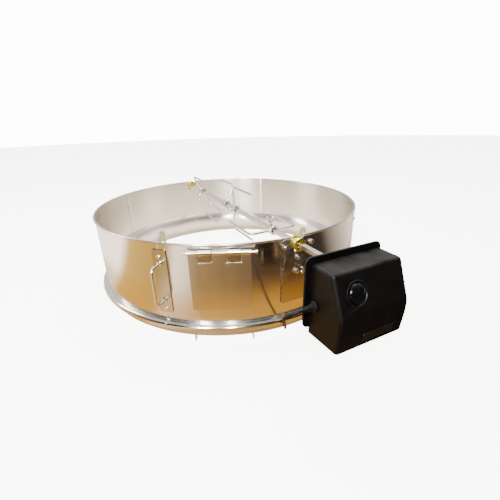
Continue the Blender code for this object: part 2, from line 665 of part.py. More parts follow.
# -------------------------------------------------------- forks and their screws
SCREW_RADIUS = 0.0024
SCREW_HOLE = 0.0027
KNOB_LOW = HUB_RADIUS + 0.0025
WING_HALF = 0.008
for tag, place_x, way, turn in FORKS:
    middle = spit_origin + Vector((place_x, 0.0, 0.0))
    frame = Matrix.Translation(middle) @ Matrix.Rotation(math.radians(turn), 4, "X")
    bm = bmesh.new()
    half_hub = HUB_LENGTH / 2
    profile = [(ROD_BORE, -half_hub), (HUB_RADIUS, -half_hub)]
    profile += [(HUB_RADIUS, half_hub), (ROD_BORE, half_hub)]
    turned(bm, profile, 12, frame, hollow=True)
    fork = place(f"fork_{tag}", bm, STEEL, 1.0, 0.22, origin=middle, smooth=True)
    tool = bmesh.new()
    base_x = -way * (half_hub - FORK_WIRE - 0.0015)
    for side in (-1, 1):
        path = bent((
            (base_x, 0.0, side * (HUB_RADIUS - 0.0016)),
            (base_x, 0.0, side * FORK_HALF_SPAN),
            (base_x + way * FORK_PRONG, 0.0, side * FORK_HALF_SPAN),
        ), 0.010, 4)
        shoulder = path[-1] - Vector((way * 0.012, 0.0, 0.0))
        path.insert(-1, shoulder)
        radii = [FORK_WIRE] * (len(path) - 1) + [0.0007]
        wire(tool, path, radii, 6, frame)
    combine(fork, cutter(f"fork_{tag}_prongs", tool), "UNION")
    tool = bmesh.new()
    screw_x = way * (half_hub - 0.0055)
    stand = frame @ Matrix.Translation((screw_x, 0.0, 0.0))
    stand = stand @ Matrix.Rotation(math.radians(-90), 4, "Z")
    rod(tool, SCREW_HOLE, 0.003, HUB_RADIUS + 0.004, 8, stand)
    combine(fork, cutter(f"fork_{tag}_hole", tool), "DIFFERENCE")
    bm = bmesh.new()
    tip = SPIT_SIDE / 2 + 0.0019
    profile = [(0.0, tip), (SCREW_RADIUS, tip), (SCREW_RADIUS, KNOB_LOW)]
    profile += [(0.0040, KNOB_LOW), (0.0040, KNOB_LOW + 0.005), (0.0, KNOB_LOW + 0.005)]
    turned(bm, profile, 8, stand)
    screw = place(f"thumbscrew_{tag}", bm, STEEL, 1.0, 0.22, origin=stand.translation)
    tool = bmesh.new()
    outline = rounded((
        (-0.0030, KNOB_LOW + 0.003, 0.0), (0.0030, KNOB_LOW + 0.003, 0.0),
        (WING_HALF, KNOB_LOW + 0.007, 0.001), (WING_HALF, KNOB_LOW + 0.013, 0.002),
        (0.0, KNOB_LOW + 0.0075, 0.002),
        (-WING_HALF, KNOB_LOW + 0.013, 0.002), (-WING_HALF, KNOB_LOW + 0.007, 0.001),
    ), 2)
    upright = Matrix.Rotation(math.radians(90), 4, "Z")
    across = [(x, z) for x, z in outline]
    ring = []
    for x, z in across:
        ring.append(tool.verts.new((z, -0.0012, x)))
    wing = tool.faces.new(ring)
    drawn = bmesh.ops.extrude_face_region(tool, geom=[wing])["geom"]
    moved = [part for part in drawn if isinstance(part, bmesh.types.BMVert)]
    bmesh.ops.translate(tool, verts=moved, vec=(0.0, 0.0024, 0.0))
    bmesh.ops.transform(tool, matrix=stand, verts=tool.verts[:])
    combine(screw, cutter(f"thumbscrew_{tag}_wing", tool), "UNION")

# ----------------------------------------------------------------------- motor
def motor_at(across, level):
    return RING @ Matrix.Translation((0.0, across, level))


bm = bmesh.new()
outline = rounded((
    (MOTOR_PLATE_SHIFT - MOTOR_PLATE_HALF, MOTOR_PLATE_LOW, 0.009),
    (MOTOR_PLATE_SHIFT + MOTOR_PLATE_HALF, MOTOR_PLATE_LOW, 0.009),
    (MOTOR_PLATE_SHIFT + MOTOR_PLATE_HALF, MOTOR_PLATE_HIGH, 0.009),
    (MOTOR_PLATE_SHIFT - MOTOR_PLATE_HALF, MOTOR_PLATE_HIGH, 0.009),
), 4)
prism(bm, outline, MOTOR_STAND, MOTOR_STAND + MOTOR_PLATE_THICK, RING)
back_plate = place("motor_back_plate", bm, DARK, 0.0, 0.5)
tool = bmesh.new()
SOCKET_RADIUS = 0.0080
low, high = MOTOR_STAND - 0.010, MOTOR_STAND + 0.010
rod(tool, SOCKET_RADIUS + 0.0015, low, high, 20, motor_at(0.0, SPIT_LEVEL))
combine(back_plate, cutter("back_plate_hole", tool), "DIFFERENCE")

# side view of the housing: flat sloping upper front, fuller lower front
SLOPE_TOP = (HOUSING_TOP_DEPTH, HOUSING_HIGH)
SLOPE_LOW = (HOUSING_DEEPEST, 0.098)
CHIN = (HOUSING_DEEPEST - 0.0035, HOUSING_LOW)


def housing_outline(inset):
    high = HOUSING_HIGH - inset
    low = HOUSING_LOW + inset
    corner = max(0.005 - inset, 0.001)
    return rounded((
        (inset, low, 0.0), (CHIN[0] - inset, low, corner + 0.003),
        (HOUSING_DEEPEST - inset, 0.080, 0.03), (SLOPE_LOW[0] - inset, SLOPE_LOW[1], 0.03),
        (SLOPE_TOP[0] - inset, high, corner), (inset, high, 0.0),
    ), 4)


def housing_block(inset, soften):
    made = bmesh.new()
    outline = housing_outline(inset)
    half = HOUSING_HALF - inset
    ring = [made.verts.new((x, -half, z)) for x, z in outline]
    face = made.faces.new(ring)
    drawn = bmesh.ops.extrude_face_region(made, geom=[face])["geom"]
    moved = [part for part in drawn if isinstance(part, bmesh.types.BMVert)]
    bmesh.ops.translate(made, verts=moved, vec=(0.0, 2 * half, 0.0))
    if soften:
        chosen = []
        for edge in made.edges:
            ends = [vert.co for vert in edge.verts]
            same_side = ends[0].y * ends[1].y > 0.0
            at_back = max(ends[0].x, ends[1].x) < inset + 0.0005
            if same_side and not at_back:
                chosen.append(edge)
        bmesh.ops.bevel(
            made, geom=chosen, offset=0.0035, segments=2, profile=0.5, affect="EDGES",
            material=-1, clamp_overlap=True,
        )
    for vert in made.verts:
        vert.co.y *= 1.0 - HOUSING_TAPER * vert.co.x / HOUSING_DEEPEST
    bmesh.ops.remove_doubles(made, verts=made.verts[:], dist=0.00001)
    shift = Matrix.Translation((HOUSING_BACK, HOUSING_SHIFT, 0.0))
    bmesh.ops.transform(made, matrix=RING @ shift, verts=made.verts[:])
    return made


housing = place("motor_housing", housing_block(0.0, True), DARK, 0.0, 0.45, smooth=True)
combine(housing, cutter("housing_inside", housing_block(HOUSING_WALL, False)), "DIFFERENCE")
tool = bmesh.new()
low = (HOUSING_BACK - 0.003, HOUSING_SHIFT - 0.050, MOTOR_PLATE_LOW + 0.006)
high = (HOUSING_BACK + 0.004, HOUSING_SHIFT + 0.050, HOUSING_HIGH - 0.006)
block(tool, low, high, RING)
combine(housing, cutter("housing_back_opening", tool), "DIFFERENCE")

SLOPE = math.atan2(SLOPE_LOW[0] - SLOPE_TOP[0], SLOPE_TOP[1] - SLOPE_LOW[1])
share = (SLOPE_TOP[1] - KNOB_LEVEL) / (SLOPE_TOP[1] - SLOPE_LOW[1])
KNOB_X = HOUSING_BACK + SLOPE_TOP[0] + share * (SLOPE_LOW[0] - SLOPE_TOP[0])
knob_frame = RING @ Matrix.Translation((KNOB_X, KNOB_ACROSS, KNOB_LEVEL))
knob_frame = knob_frame @ Matrix.Rotation(-SLOPE, 4, "Y")
tool = bmesh.new()
rod(tool, WELL_RADIUS + 0.0005, -0.012, 0.010, 18, knob_frame)
combine(housing, cutter("housing_well", tool), "DIFFERENCE")
GLAND_HOLE = 0.0056
gland_share = (GLAND_X - HOUSING_BACK) / HOUSING_DEEPEST
GLAND_Y = HOUSING_SHIFT - HOUSING_HALF * (1.0 - HOUSING_TAPER * gland_share)
gland_frame = RING @ Matrix.Translation((GLAND_X, GLAND_Y, GLAND_LEVEL))
gland_frame = gland_frame @ Matrix.Rotation(math.radians(-90), 4, "Z")
tool = bmesh.new()
rod(tool, GLAND_HOLE, -0.008, 0.006, 12, gland_frame)
combine(housing, cutter("housing_gland_hole", tool), "DIFFERENCE")

# switch: cup set in the sloping front, domed push button in the cup
CUP_FLOOR = -0.0085
CUP_WALL = 0.0012
STEM = 0.0040
bm = bmesh.new()
profile = [
    (STEM + 0.0004, CUP_FLOOR - CUP_WALL), (WELL_RADIUS, CUP_FLOOR - CUP_WALL),
    (WELL_RADIUS, 0.0004), (WELL_RADIUS + 0.0018, 0.0004), (WELL_RADIUS + 0.0014, 0.0014),
    (WELL_RADIUS - CUP_WALL, 0.0014), (WELL_RADIUS - CUP_WALL, CUP_FLOOR),
    (STEM + 0.0004, CUP_FLOOR),
]
turned(bm, profile, 18, knob_frame, hollow=True)
place("switch_bezel", bm, DARK, 0.0, 0.35, smooth=True)
bm = bmesh.new()
SKIRT_LOW = -0.0040
profile = [
    (0.0, -0.0125), (STEM, -0.0125), (STEM, SKIRT_LOW), (KNOB_RADIUS, SKIRT_LOW),
    (KNOB_RADIUS, 0.0005), (0.0120, 0.0022), (0.0095, 0.0036), (0.0055, 0.0046),
    (0.0, 0.0050),
]
turned(bm, profile, 18, knob_frame)
place("switch_button", bm, DARK, 0.0, 0.12, origin=knob_frame.translation, smooth=True)


# ------------------------------------------------------------- drive inside it
def gear(name, teeth, low, high, bore, centre, turn, colour):
    pitch = GEAR_MODULE * teeth / 2
    tip = pitch + 0.85 * GEAR_MODULE
    root = pitch - 1.15 * GEAR_MODULE
    step = math.tau / teeth
    outline = []
    for index in range(teeth):
        middle = index * step + turn
        for share, radius in ((-0.30, root), (-0.11, tip), (0.11, tip), (0.30, root)):
            angle = middle + share * step
            outline.append((radius * math.cos(angle), radius * math.sin(angle)))
    made = bmesh.new()
    prism(made, outline, low, high, centre)
    body = place(name, made, colour, 1.0, 0.35, origin=centre @ Vector((low, 0.0, 0.0)))
    if bore > 0.0:
        hole = bmesh.new()
        rod(hole, bore, low - 0.004, high + 0.004, 20, centre)
        combine(body, cutter(name + "_bore", hole), "DIFFERENCE")
    return body


GEAR_LOW = MOTOR_STAND + 0.0075
GEAR_HIGH = MOTOR_STAND + 0.0145
drive = motor_at(0.0, SPIT_LEVEL)
gear(
    "output_gear", GEAR_TEETH, GEAR_LOW, GEAR_HIGH, SOCKET_RADIUS + GAP, drive,
    math.pi / 2, BRASS,
)
CENTRES = GEAR_MODULE * (GEAR_TEETH + PINION_TEETH) / 2 + 0.0001
pinion_frame = motor_at(0.0, SPIT_LEVEL - CENTRES)
pinion = gear(
    "pinion", PINION_TEETH, GEAR_LOW - 0.0005, GEAR_HIGH + 0.0005, 0.0, pinion_frame,
    math.pi / 2 + math.pi / PINION_TEETH, STEEL,
)
tool = bmesh.new()
CAN_LOW = MOTOR_STAND + 0.0195
rod(tool, 0.0020, GEAR_HIGH - 0.001, CAN_LOW + 0.002, 12, pinion_frame)
combine(pinion, cutter("pinion_shaft", tool), "UNION")

bm = bmesh.new()
SOCKET_LOW = MOTOR_STAND - 0.006
rod(bm, SOCKET_RADIUS, SOCKET_LOW, GEAR_HIGH + 0.004, 20, drive)
socket = place(
    "drive_socket", bm, STEEL, 1.0, 0.3, origin=drive @ Vector((SOCKET_LOW, 0.0, 0.0)),
    smooth=True,
)
tool = bmesh.new()
half = SPIT_SIDE / 2 + GAP
block(tool, (SOCKET_LOW - 0.004, -half, -half), (SPIT_NEAR_END + 0.001, half, half), drive)
combine(socket, cutter("socket_square", tool), "DIFFERENCE")

CAN_RADIUS = 0.020
CAN_HIGH = MOTOR_STAND + 0.0370
CAN_LEVEL = SPIT_LEVEL - CENTRES - 0.0165
bm = bmesh.new()
can = motor_at(0.0, CAN_LEVEL)
profile = [(0.0, CAN_LOW), (CAN_RADIUS - 0.001, CAN_LOW), (CAN_RADIUS, CAN_LOW + 0.001)]
profile += [(CAN_RADIUS, CAN_HIGH), (0.0, CAN_HIGH)]
turned(bm, profile, 24, can)
gear_motor = place("gear_motor", bm, STEEL, 1.0, 0.4, smooth=True)
tool = bmesh.new()
rod(tool, 0.0024, CAN_LOW - 0.002, CAN_LOW + 0.004, 12, pinion_frame)
combine(gear_motor, cutter("gear_motor_hole", tool), "DIFFERENCE")

# ------------------------------------------- plain badge on the lower front
BADGE_HALF = 0.027
BADGE_HIGH = 0.006
lean = math.atan2(HOUSING_DEEPEST - CHIN[0], 0.080 - CHIN[1])
badge_frame = RING @ Matrix.Translation((HOUSING_BACK + CHIN[0], 0.013, HOUSING_LOW))
badge_frame = badge_frame @ Matrix.Rotation(lean, 4, "Y")
outline = rounded((
    (-BADGE_HALF, 0.0120, 0.002), (BADGE_HALF, 0.0120, 0.002),
    (BADGE_HALF, 0.0120 + 2 * BADGE_HIGH, 0.002), (-BADGE_HALF, 0.0120 + 2 * BADGE_HIGH, 0.002),
), 2)
bm = bmesh.new()
prism(bm, outline, GAP, GAP + 0.0008, badge_frame)
place("badge_plate", bm, STEEL, 1.0, 0.3)

# ------------------------------------------------------- gland and mains cord
SLEEVE_BORE = CORD_RADIUS + GAP
bm = bmesh.new()
profile = [
    (SLEEVE_BORE, -0.0050), (0.0066, -0.0050), (0.0066, -HOUSING_WALL - GAP - 0.0002),
    (GLAND_HOLE - 0.0004, -HOUSING_WALL - GAP - 0.0002), (GLAND_HOLE - 0.0004, 0.0006),
    (0.0076, 0.0006), (0.0072, 0.0040), (0.0048, 0.0050), (0.0034, SLEEVE_END),
    (SLEEVE_BORE, SLEEVE_END),
]
turned(bm, profile, 12, gland_frame, hollow=True)
place("cord_gland", bm, DARK, 0.0, 0.6, smooth=True)

# the cord leaves its sleeve, drops to the table, runs in under the band and
# climbs a neat coil of turns stacked one on the next
STACK = CORD_TURNS * CORD_PITCH + 2 * CORD_RADIUS
COIL_X = RING_X + COIL_CENTRE[0]
COIL_Y = COIL_CENTRE[1]
TIE_THICK = 0.0009
COIL_BOTTOM = TIE_THICK + 2 * GAP
COIL_MIDDLE = COIL_BOTTOM + STACK / 2
FLOOR = CORD_RADIUS + 0.0002
RUN_Y = COIL_Y - COIL_RADIUS
drop_x = RING_X + GLAND_X
drop_y = GLAND_Y - SLEEVE_END - 0.002 - 1.6 * DROP_BEND
START = COIL_BOTTOM + CORD_RADIUS
FEED = 0.004                 # cord's end stops this short of the coil's ring


def cord_path(corners):
    """Straight runs joined by arcs, from (x, y, z, bend radius) corners."""
    path = [Vector(corners[0][:3])]
    for index in range(1, len(corners) - 1):
        here = Vector(corners[index][:3])
        radius = corners[index][3]
        before = (Vector(corners[index - 1][:3]) - here).normalized()
        after = (Vector(corners[index + 1][:3]) - here).normalized()
        half = before.angle(after) / 2
        if half > math.radians(89.0):
            path.append(here)
            continue
        middle = here + (before + after).normalized() * radius / math.sin(half)
        first = (here + before * radius / math.tan(half) - middle).normalized()
        last = (here + after * radius / math.tan(half) - middle).normalized()
        steps = max(3, round(math.degrees(first.angle(last)) / 10))
        for step in range(steps + 1):
            path.append(middle + first.slerp(last, step / steps) * radius)
    path.append(Vector(corners[-1][:3]))
    return path


def tube(name, points, radius):
    curve = bpy.data.curves.new(name, "CURVE")
    curve.dimensions = "3D"
    curve.bevel_depth = radius
    curve.bevel_resolution = 2
    curve.use_fill_caps = True
    strand = curve.splines.new("POLY")
    strand.points.add(len(points) - 1)
    for spot, point in zip(strand.points, points):
        spot.co = (*point, 1.0)
    curve.materials.append(material(name + "_look", DARK, 0.0, 0.55))
    made = bpy.data.objects.new(name, curve)
    bpy.context.collection.objects.link(made)
    return made


drop = Vector((drop_x, drop_y, SEAT_LEVEL + GLAND_LEVEL))
edge = at_ring(EDGE_BEARING) @ Vector((BAND_OUT, 0.0, 0.0))
edge.z = UNDER_EDGE
slant = (edge - drop) / (drop.z - edge.z)
landing = edge + slant * (edge.z - FLOOR)
turn_in = landing + Vector((slant.x, slant.y, 0.0)) * (RUN_Y - landing.y) / slant.y
corners = (
    (drop_x, GLAND_Y + 0.004, SEAT_LEVEL + GLAND_LEVEL, 0.0),
    (*drop, DROP_BEND), (*landing, FLOOR_BEND), (*turn_in, RUN_BEND),
    (turn_in.x - 0.022, RUN_Y, FLOOR, 0.05),
    (COIL_X + FEED, RUN_Y, START - 0.0002, 0.0),
)
tube("cord_tube", cord_path(corners), CORD_RADIUS)

# tail from the top of the coil down to the plug
PLUG_HALF = (0.016, 0.0125, 0.0095)
PLUG_X = COIL_X - TAIL_LENGTH - PLUG_HALF[0]
plug_level = PLUG_HALF[2] + 0.0002
top_level = START + CORD_TURNS * CORD_PITCH
tail = []
TAIL_STEPS = 16
for step in range(TAIL_STEPS + 1):
    share = step / TAIL_STEPS
    fall = max(0.0, share - 0.2) / 0.8
    ease = fall * fall * (3 - 2 * fall)
    x = COIL_X - FEED - (TAIL_LENGTH - FEED - 0.0006) * share
    tail.append(Vector((x, RUN_Y, top_level + (plug_level - top_level) * ease)))
tube("cord_tail", tail, CORD_RADIUS)

COIL_SLACK = 0.0002
bm = bmesh.new()
side = CORD_RADIUS + COIL_SLACK
high = STACK / 2
chamfer = 0.0014
profile = [
    (COIL_RADIUS - side, -high + chamfer), (COIL_RADIUS - side + chamfer, -high),
    (COIL_RADIUS + side - chamfer, -high), (COIL_RADIUS + side, -high + chamfer),
    (COIL_RADIUS + side, high - chamfer), (COIL_RADIUS + side - chamfer, high),
    (COIL_RADIUS - side + chamfer, high), (COIL_RADIUS - side, high - chamfer),
]
upright = Matrix.Rotation(math.radians(-90), 4, "Y")
coil_shift = Matrix.Translation((COIL_X, COIL_Y, COIL_MIDDLE))
turned(bm, profile, 32, coil_shift @ upright, hollow=True)
coil = place("cord_coil", bm, DARK, 0.0, 0.55, smooth=True)
# clear of the strand that feeds it and the strand that leaves it
tool = bmesh.new()
clear = CORD_RADIUS + GAP
low = (COIL_X - FEED - 0.001, RUN_Y - clear - 0.004, COIL_BOTTOM - 0.004)
block(tool, low, (COIL_X + 0.030, RUN_Y + clear, START + clear), Matrix.Identity(4))
low = (COIL_X - 0.030, RUN_Y - clear - 0.004, top_level - clear)
block(tool, low, (COIL_X + FEED + 0.001, RUN_Y + clear, top_level + 0.010), Matrix.Identity(4))
combine(coil, cutter("coil_ends", tool), "DIFFERENCE")

# tie round the stack of turns
TIE_HALF = 0.005
TIE_ANGLE = 150.0
tie_bow = TIE_HALF ** 2 / (2 * (COIL_RADIUS - side))
tie_in = side + tie_bow + GAP
tie_out = tie_in + TIE_THICK
tie_high = high + GAP
bm = bmesh.new()
tie_frame = coil_shift @ Matrix.Rotation(math.radians(TIE_ANGLE), 4, "Z")
outer = rounded((
    (-tie_out, -tie_high - TIE_THICK, 0.001), (tie_out, -tie_high - TIE_THICK, 0.001),
    (tie_out, tie_high + TIE_THICK, 0.001), (-tie_out, tie_high + TIE_THICK, 0.001),
), 2)
tie_shift = Matrix.Translation((COIL_RADIUS, 0.0, 0.0))
across_prism(bm, outer, TIE_HALF, tie_frame @ tie_shift)
tie = place("cord_tie", bm, DARK, 0.0, 0.7, smooth=True)
tool = bmesh.new()
low = (-tie_in, -TIE_HALF - 0.002, -tie_high)
block(tool, low, (tie_in, TIE_HALF + 0.002, tie_high), tie_frame @ tie_shift)
combine(tie, cutter("tie_bore", tool), "DIFFERENCE")

# plug lying beside the coil, its blades pointing away from the cord
plug_frame = Matrix.Translation((PLUG_X, RUN_Y, plug_level))
bm = bmesh.new()
block(bm, [-v for v in PLUG_HALF], PLUG_HALF, plug_frame)
bmesh.ops.bevel(
    bm, geom=bm.edges[:], offset=0.003, segments=2, profile=0.5, affect="EDGES", material=-1,
)
plug = place("plug_body", bm, DARK, 0.0, 0.5, smooth=True)
tool = bmesh.new()
for side in (-1, 1):
    slot_low = (-PLUG_HALF[0] - 0.002, side * 0.0063 - 0.0011, -0.0036)
    slot_high = (-PLUG_HALF[0] + 0.004, side * 0.0063 + 0.0011, 0.0036)
    block(tool, slot_low, slot_high, plug_frame)
combine(plug, cutter("plug_slots", tool), "DIFFERENCE")
for index, side in enumerate((-1, 1)):
    bm = bmesh.new()
    low = (-PLUG_HALF[0] - 0.0155, side * 0.0063 - 0.0008, -0.0032)
    high = (-PLUG_HALF[0] + 0.0036, side * 0.0063 + 0.0008, 0.0032)
    block(bm, low, high, plug_frame)
    place(f"plug_blade_{index + 1}", bm, BRASS, 1.0, 0.3)
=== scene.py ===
import math

import bmesh
import bpy
from mathutils import Matrix, Vector


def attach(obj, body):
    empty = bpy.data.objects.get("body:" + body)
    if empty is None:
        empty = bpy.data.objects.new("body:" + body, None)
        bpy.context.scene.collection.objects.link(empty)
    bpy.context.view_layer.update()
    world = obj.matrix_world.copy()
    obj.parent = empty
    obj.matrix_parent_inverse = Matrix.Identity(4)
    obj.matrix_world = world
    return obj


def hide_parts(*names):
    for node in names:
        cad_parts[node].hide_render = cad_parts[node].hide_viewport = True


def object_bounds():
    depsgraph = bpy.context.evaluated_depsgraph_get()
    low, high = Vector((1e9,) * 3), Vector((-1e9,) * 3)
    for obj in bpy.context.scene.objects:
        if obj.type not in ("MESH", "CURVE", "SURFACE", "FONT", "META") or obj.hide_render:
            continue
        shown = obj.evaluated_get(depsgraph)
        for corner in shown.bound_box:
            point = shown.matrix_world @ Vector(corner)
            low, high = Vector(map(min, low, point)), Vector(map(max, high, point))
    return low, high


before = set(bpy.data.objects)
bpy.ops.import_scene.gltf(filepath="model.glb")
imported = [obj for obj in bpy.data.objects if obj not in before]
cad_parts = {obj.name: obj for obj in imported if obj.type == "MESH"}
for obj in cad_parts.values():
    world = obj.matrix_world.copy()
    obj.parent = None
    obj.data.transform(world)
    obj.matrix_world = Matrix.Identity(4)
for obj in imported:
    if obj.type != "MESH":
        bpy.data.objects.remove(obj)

cad_low, cad_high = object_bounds()
cad_low, cad_high = list(cad_low), list(cad_high)

# The polished steel mirrors a painted reflection there: honey-brown boards that the table
# emits to reflections alone.
# ---------------------------------------------------------------------------
camera = bpy.data.cameras.new("camera")
camera.sensor_width = 36.0
camera.lens = 22.30
camera.clip_start = 0.02
camera_stand = bpy.data.objects.new("camera", camera)
camera_stand.matrix_world = (
    Matrix.Translation((0.6069, -0.2716, 0.3592))
    @ Matrix.Rotation(math.radians(64.0), 4, "Z")
    @ Matrix.Rotation(math.radians(90.0 - 22.71), 4, "X")
    @ Matrix.Rotation(math.radians(-1.46), 4, "Z")
)
bpy.context.collection.objects.link(camera_stand)
bpy.context.scene.camera = camera_stand

RING_X = -0.0669             # ring's axis in plan
BEAD_TOP = 0.043             # top of the ring's bead above the table


def lamp(name, azimuth, elevation, distance, width, height, power, colour):
    """Soft panel aimed at the ring, placed by bearing and height round it."""
    panel = bpy.data.lights.new(name, "AREA")
    panel.shape = "RECTANGLE"
    panel.size = width
    panel.size_y = height
    panel.energy = power
    panel.color = colour
    stand = bpy.data.objects.new(name, panel)
    turn = math.radians(azimuth)
    rise = math.radians(elevation)
    out = Vector((
        math.cos(turn) * math.cos(rise), math.sin(turn) * math.cos(rise), math.sin(rise),
    ))
    aim = Vector((RING_X, 0.0, 0.08))
    stand.matrix_world = (
        Matrix.Translation(aim + out * distance)
        @ out.to_track_quat("Z", "Y").to_matrix().to_4x4()
    )
    bpy.context.collection.objects.link(stand)


WARM_WHITE = (1.0, 0.95, 0.88)
CLEAR_WHITE = (1.0, 0.99, 0.97)
lamp("overhead_panel", 150.0, 72.0, 1.7, 1.5, 1.1, 45.0, WARM_WHITE)
lamp("window_strip", -45.0, 31.0, 1.9, 0.15, 0.7, 52.0, CLEAR_WHITE)
lamp("second_strip", -24.0, 33.0, 2.0, 0.11, 0.6, 36.0, CLEAR_WHITE)
lamp("side_strip", -123.0, 32.0, 1.9, 0.16, 0.7, 16.0, WARM_WHITE)


def new_look(name):
    """Material with its Principled shader; returns material, tree and shader."""
    look = bpy.data.materials.new(name)
    look.use_nodes = True
    return look, look.node_tree, look.node_tree.nodes["Principled BSDF"]


def ramp(tree, feed, stops):
    """Colour ramp on a value, from (place, colour) stops."""
    node = tree.nodes.new("ShaderNodeValToRGB")
    ladder = node.color_ramp
    while len(ladder.elements) < len(stops):
        ladder.elements.new(0.5)
    for step, (place, colour) in zip(ladder.elements, stops):
        step.position = place
        step.color = (*colour, 1.0)
    tree.links.new(feed, node.inputs["Fac"])
    return node.outputs["Color"]


def sums(tree, operation, first, second=0.0, third=0.0):
    """Math node on sockets or numbers."""
    node = tree.nodes.new("ShaderNodeMath")
    node.operation = operation
    for socket, value in zip(node.inputs, (first, second, third)):
        if hasattr(value, "links"):
            tree.links.new(value, socket)
        else:
            socket.default_value = value
    return node.outputs["Value"]


def blend_colours(tree, factor, first, second):
    """Mix of two colours or colour sockets."""
    node = tree.nodes.new("ShaderNodeMix")
    node.data_type = "RGBA"
    for socket, value in ((node.inputs[0], factor), (node.inputs[6], first), (node.inputs[7], second)):
        if hasattr(value, "links"):
            tree.links.new(value, socket)
        elif isinstance(value, tuple):
            socket.default_value = (*value, 1.0)
        else:
            socket.default_value = value
    return node.outputs[2]


def between(tree, value, low, high, to_low=0.0, to_high=1.0, smooth=False):
    """Map a value from one span to another."""
    node = tree.nodes.new("ShaderNodeMapRange")
    if smooth:
        node.interpolation_type = "SMOOTHSTEP"
    tree.links.new(value, node.inputs["Value"])
    for name, number in (("From Min", low), ("From Max", high), ("To Min", to_low), ("To Max", to_high)):
        node.inputs[name].default_value = number
    return node.outputs["Result"]


BACKDROP_WHITE = 14.0
studio = bpy.data.worlds.new("studio")
studio.use_nodes = True
tree = studio.node_tree
sky = tree.nodes["Background"]
outward = tree.nodes.new("ShaderNodeTexCoord").outputs["Generated"]
lean = tree.nodes.new("ShaderNodeVectorMath")
lean.operation = "DOT_PRODUCT"
lean.inputs[1].default_value = (-0.75, 0.25, 0.61)
tree.links.new(outward, lean.inputs[0])
glow = between(tree, lean.outputs["Value"], -0.10, 0.85, 0.012, 1.1, smooth=True)
rays = tree.nodes.new("ShaderNodeLightPath")
backdrop = tree.nodes.new("ShaderNodeMix")
tree.links.new(rays.outputs["Is Camera Ray"], backdrop.inputs[0])
tree.links.new(glow, backdrop.inputs[2])
backdrop.inputs[3].default_value = BACKDROP_WHITE
tree.links.new(backdrop.outputs[0], sky.inputs["Strength"])
sky.inputs["Color"].default_value = (1.0, 0.985, 0.965, 1.0)
bpy.context.scene.world = studio

bm = bmesh.new()
bmesh.ops.create_circle(bm, cap_ends=True, segments=96, radius=7.0)
table_mesh = bpy.data.meshes.new("table_top")
bm.to_mesh(table_mesh)
bm.free()
table_top = bpy.data.objects.new("table_top", table_mesh)
bpy.context.collection.objects.link(table_top)
table_look, tree, shader = new_look("pale_table")
place = tree.nodes.new("ShaderNodeTexCoord").outputs["Object"]
shift = tree.nodes.new("ShaderNodeMapping")
shift.inputs["Location"].default_value = (-RING_X, 0.0, 0.0)
tree.links.new(place, shift.inputs["Vector"])
apart = tree.nodes.new("ShaderNodeSeparateXYZ")
tree.links.new(shift.outputs["Vector"], apart.inputs["Vector"])
reach = tree.nodes.new("ShaderNodeVectorMath")
reach.operation = "LENGTH"
tree.links.new(shift.outputs["Vector"], reach.inputs[0])
bearing = sums(tree, "ARCTAN2", apart.outputs["Y"], apart.outputs["X"])
round_share = between(tree, bearing, -math.pi, math.pi)
# painted reflection of honey-coloured boards, set out by bearing and emitted to glossy rays
# alone, so it is seen only in the steel, brighter than the light on the table would make it
TABLE_GLOW = 4.6
painted_reflection_boards = ramp(tree, round_share, (
    (0.00, (0.50, 0.45, 0.40)), (0.220, (0.80, 0.66, 0.55)), (0.245, (0.28, 0.16, 0.035)),
    (0.315, (0.20, 0.115, 0.02)), (0.328, (0.20, 0.13, 0.04)), (0.345, (0.56, 0.46, 0.34)),
    (0.365, (0.40, 0.33, 0.25)), (0.40, (0.11, 0.06, 0.012)), (0.46, (0.02, 0.009, 0.002)),
    (0.62, (0.006, 0.004, 0.003)), (0.74, (0.36, 0.30, 0.24)),
))
# the painted reflection turns dark amber close round the ring and paler inside it
close_by = between(tree, reach.outputs["Value"], 0.38, 0.52, 1.0, 0.0, smooth=True)
painted_reflection_boards = blend_colours(tree, sums(tree, "MULTIPLY", close_by, 0.7), painted_reflection_boards, (0.26, 0.12, 0.012))
inside = between(tree, reach.outputs["Value"], 0.27, 0.29, 1.0, 0.0)
painted_reflection_boards = blend_colours(tree, inside, painted_reflection_boards, (0.60, 0.53, 0.42))
rays = tree.nodes.new("ShaderNodeLightPath")
PALE = (0.93, 0.925, 0.915)
tint = blend_colours(tree, rays.outputs["Is Glossy Ray"], PALE, (0.0, 0.0, 0.0))
tree.links.new(tint, shader.inputs["Base Color"])
# the table glows evenly white to the camera and emits the painted reflection to glossy rays
glow_and_painted_reflection = blend_colours(tree, rays.outputs["Is Camera Ray"], (0.0, 0.0, 0.0), (1.35, 1.335, 1.31))
glow_and_painted_reflection = blend_colours(tree, rays.outputs["Is Glossy Ray"], glow_and_painted_reflection, painted_reflection_boards)
tree.links.new(glow_and_painted_reflection, shader.inputs["Emission Color"])
shader.inputs["Emission Strength"].default_value = TABLE_GLOW
shader.inputs["Roughness"].default_value = 0.9
shader.inputs["Specular IOR Level"].default_value = 0.1
table_mesh.materials.append(table_look)

# ---------------------------------------------------------------------------
# Ring wall: four quarter sheets of polished stainless steel, each rolled over
# at the rim and folded out into the bead that sits on the kettle's edge.
# ---------------------------------------------------------------------------
WALL_THICK = 0.0012
WALL_IN = 0.2863             # inner face of the sheet
WALL_OUT = 0.2875
WALL_HEIGHT = 0.145          # bead top to rim top
RIM_ROLL = 0.0021            # radius over the rolled rim
BEAD_ROUND = 0.0065          # radius over the bead's nose
BEAD_FLAT = 0.0045
SLIT = math.degrees(0.0002 / WALL_OUT)
QUARTER_STEPS = 54
RING = Matrix.Translation((RING_X, 0.0, BEAD_TOP))


def at_ring(angle):
    """Frame at a bearing round the ring: X outward, Y along the rim, Z up."""
    return RING @ Matrix.Rotation(math.radians(angle), 4, "Z")


def along_arc(centre, radius, start, end, steps):
    """Points round an arc in a flat section."""
    found = []
    for step in range(steps + 1):
        turn = math.radians(start + (end - start) * step / steps)
        found.append((centre[0] + radius * math.cos(turn), centre[1] + radius * math.sin(turn)))
    return found


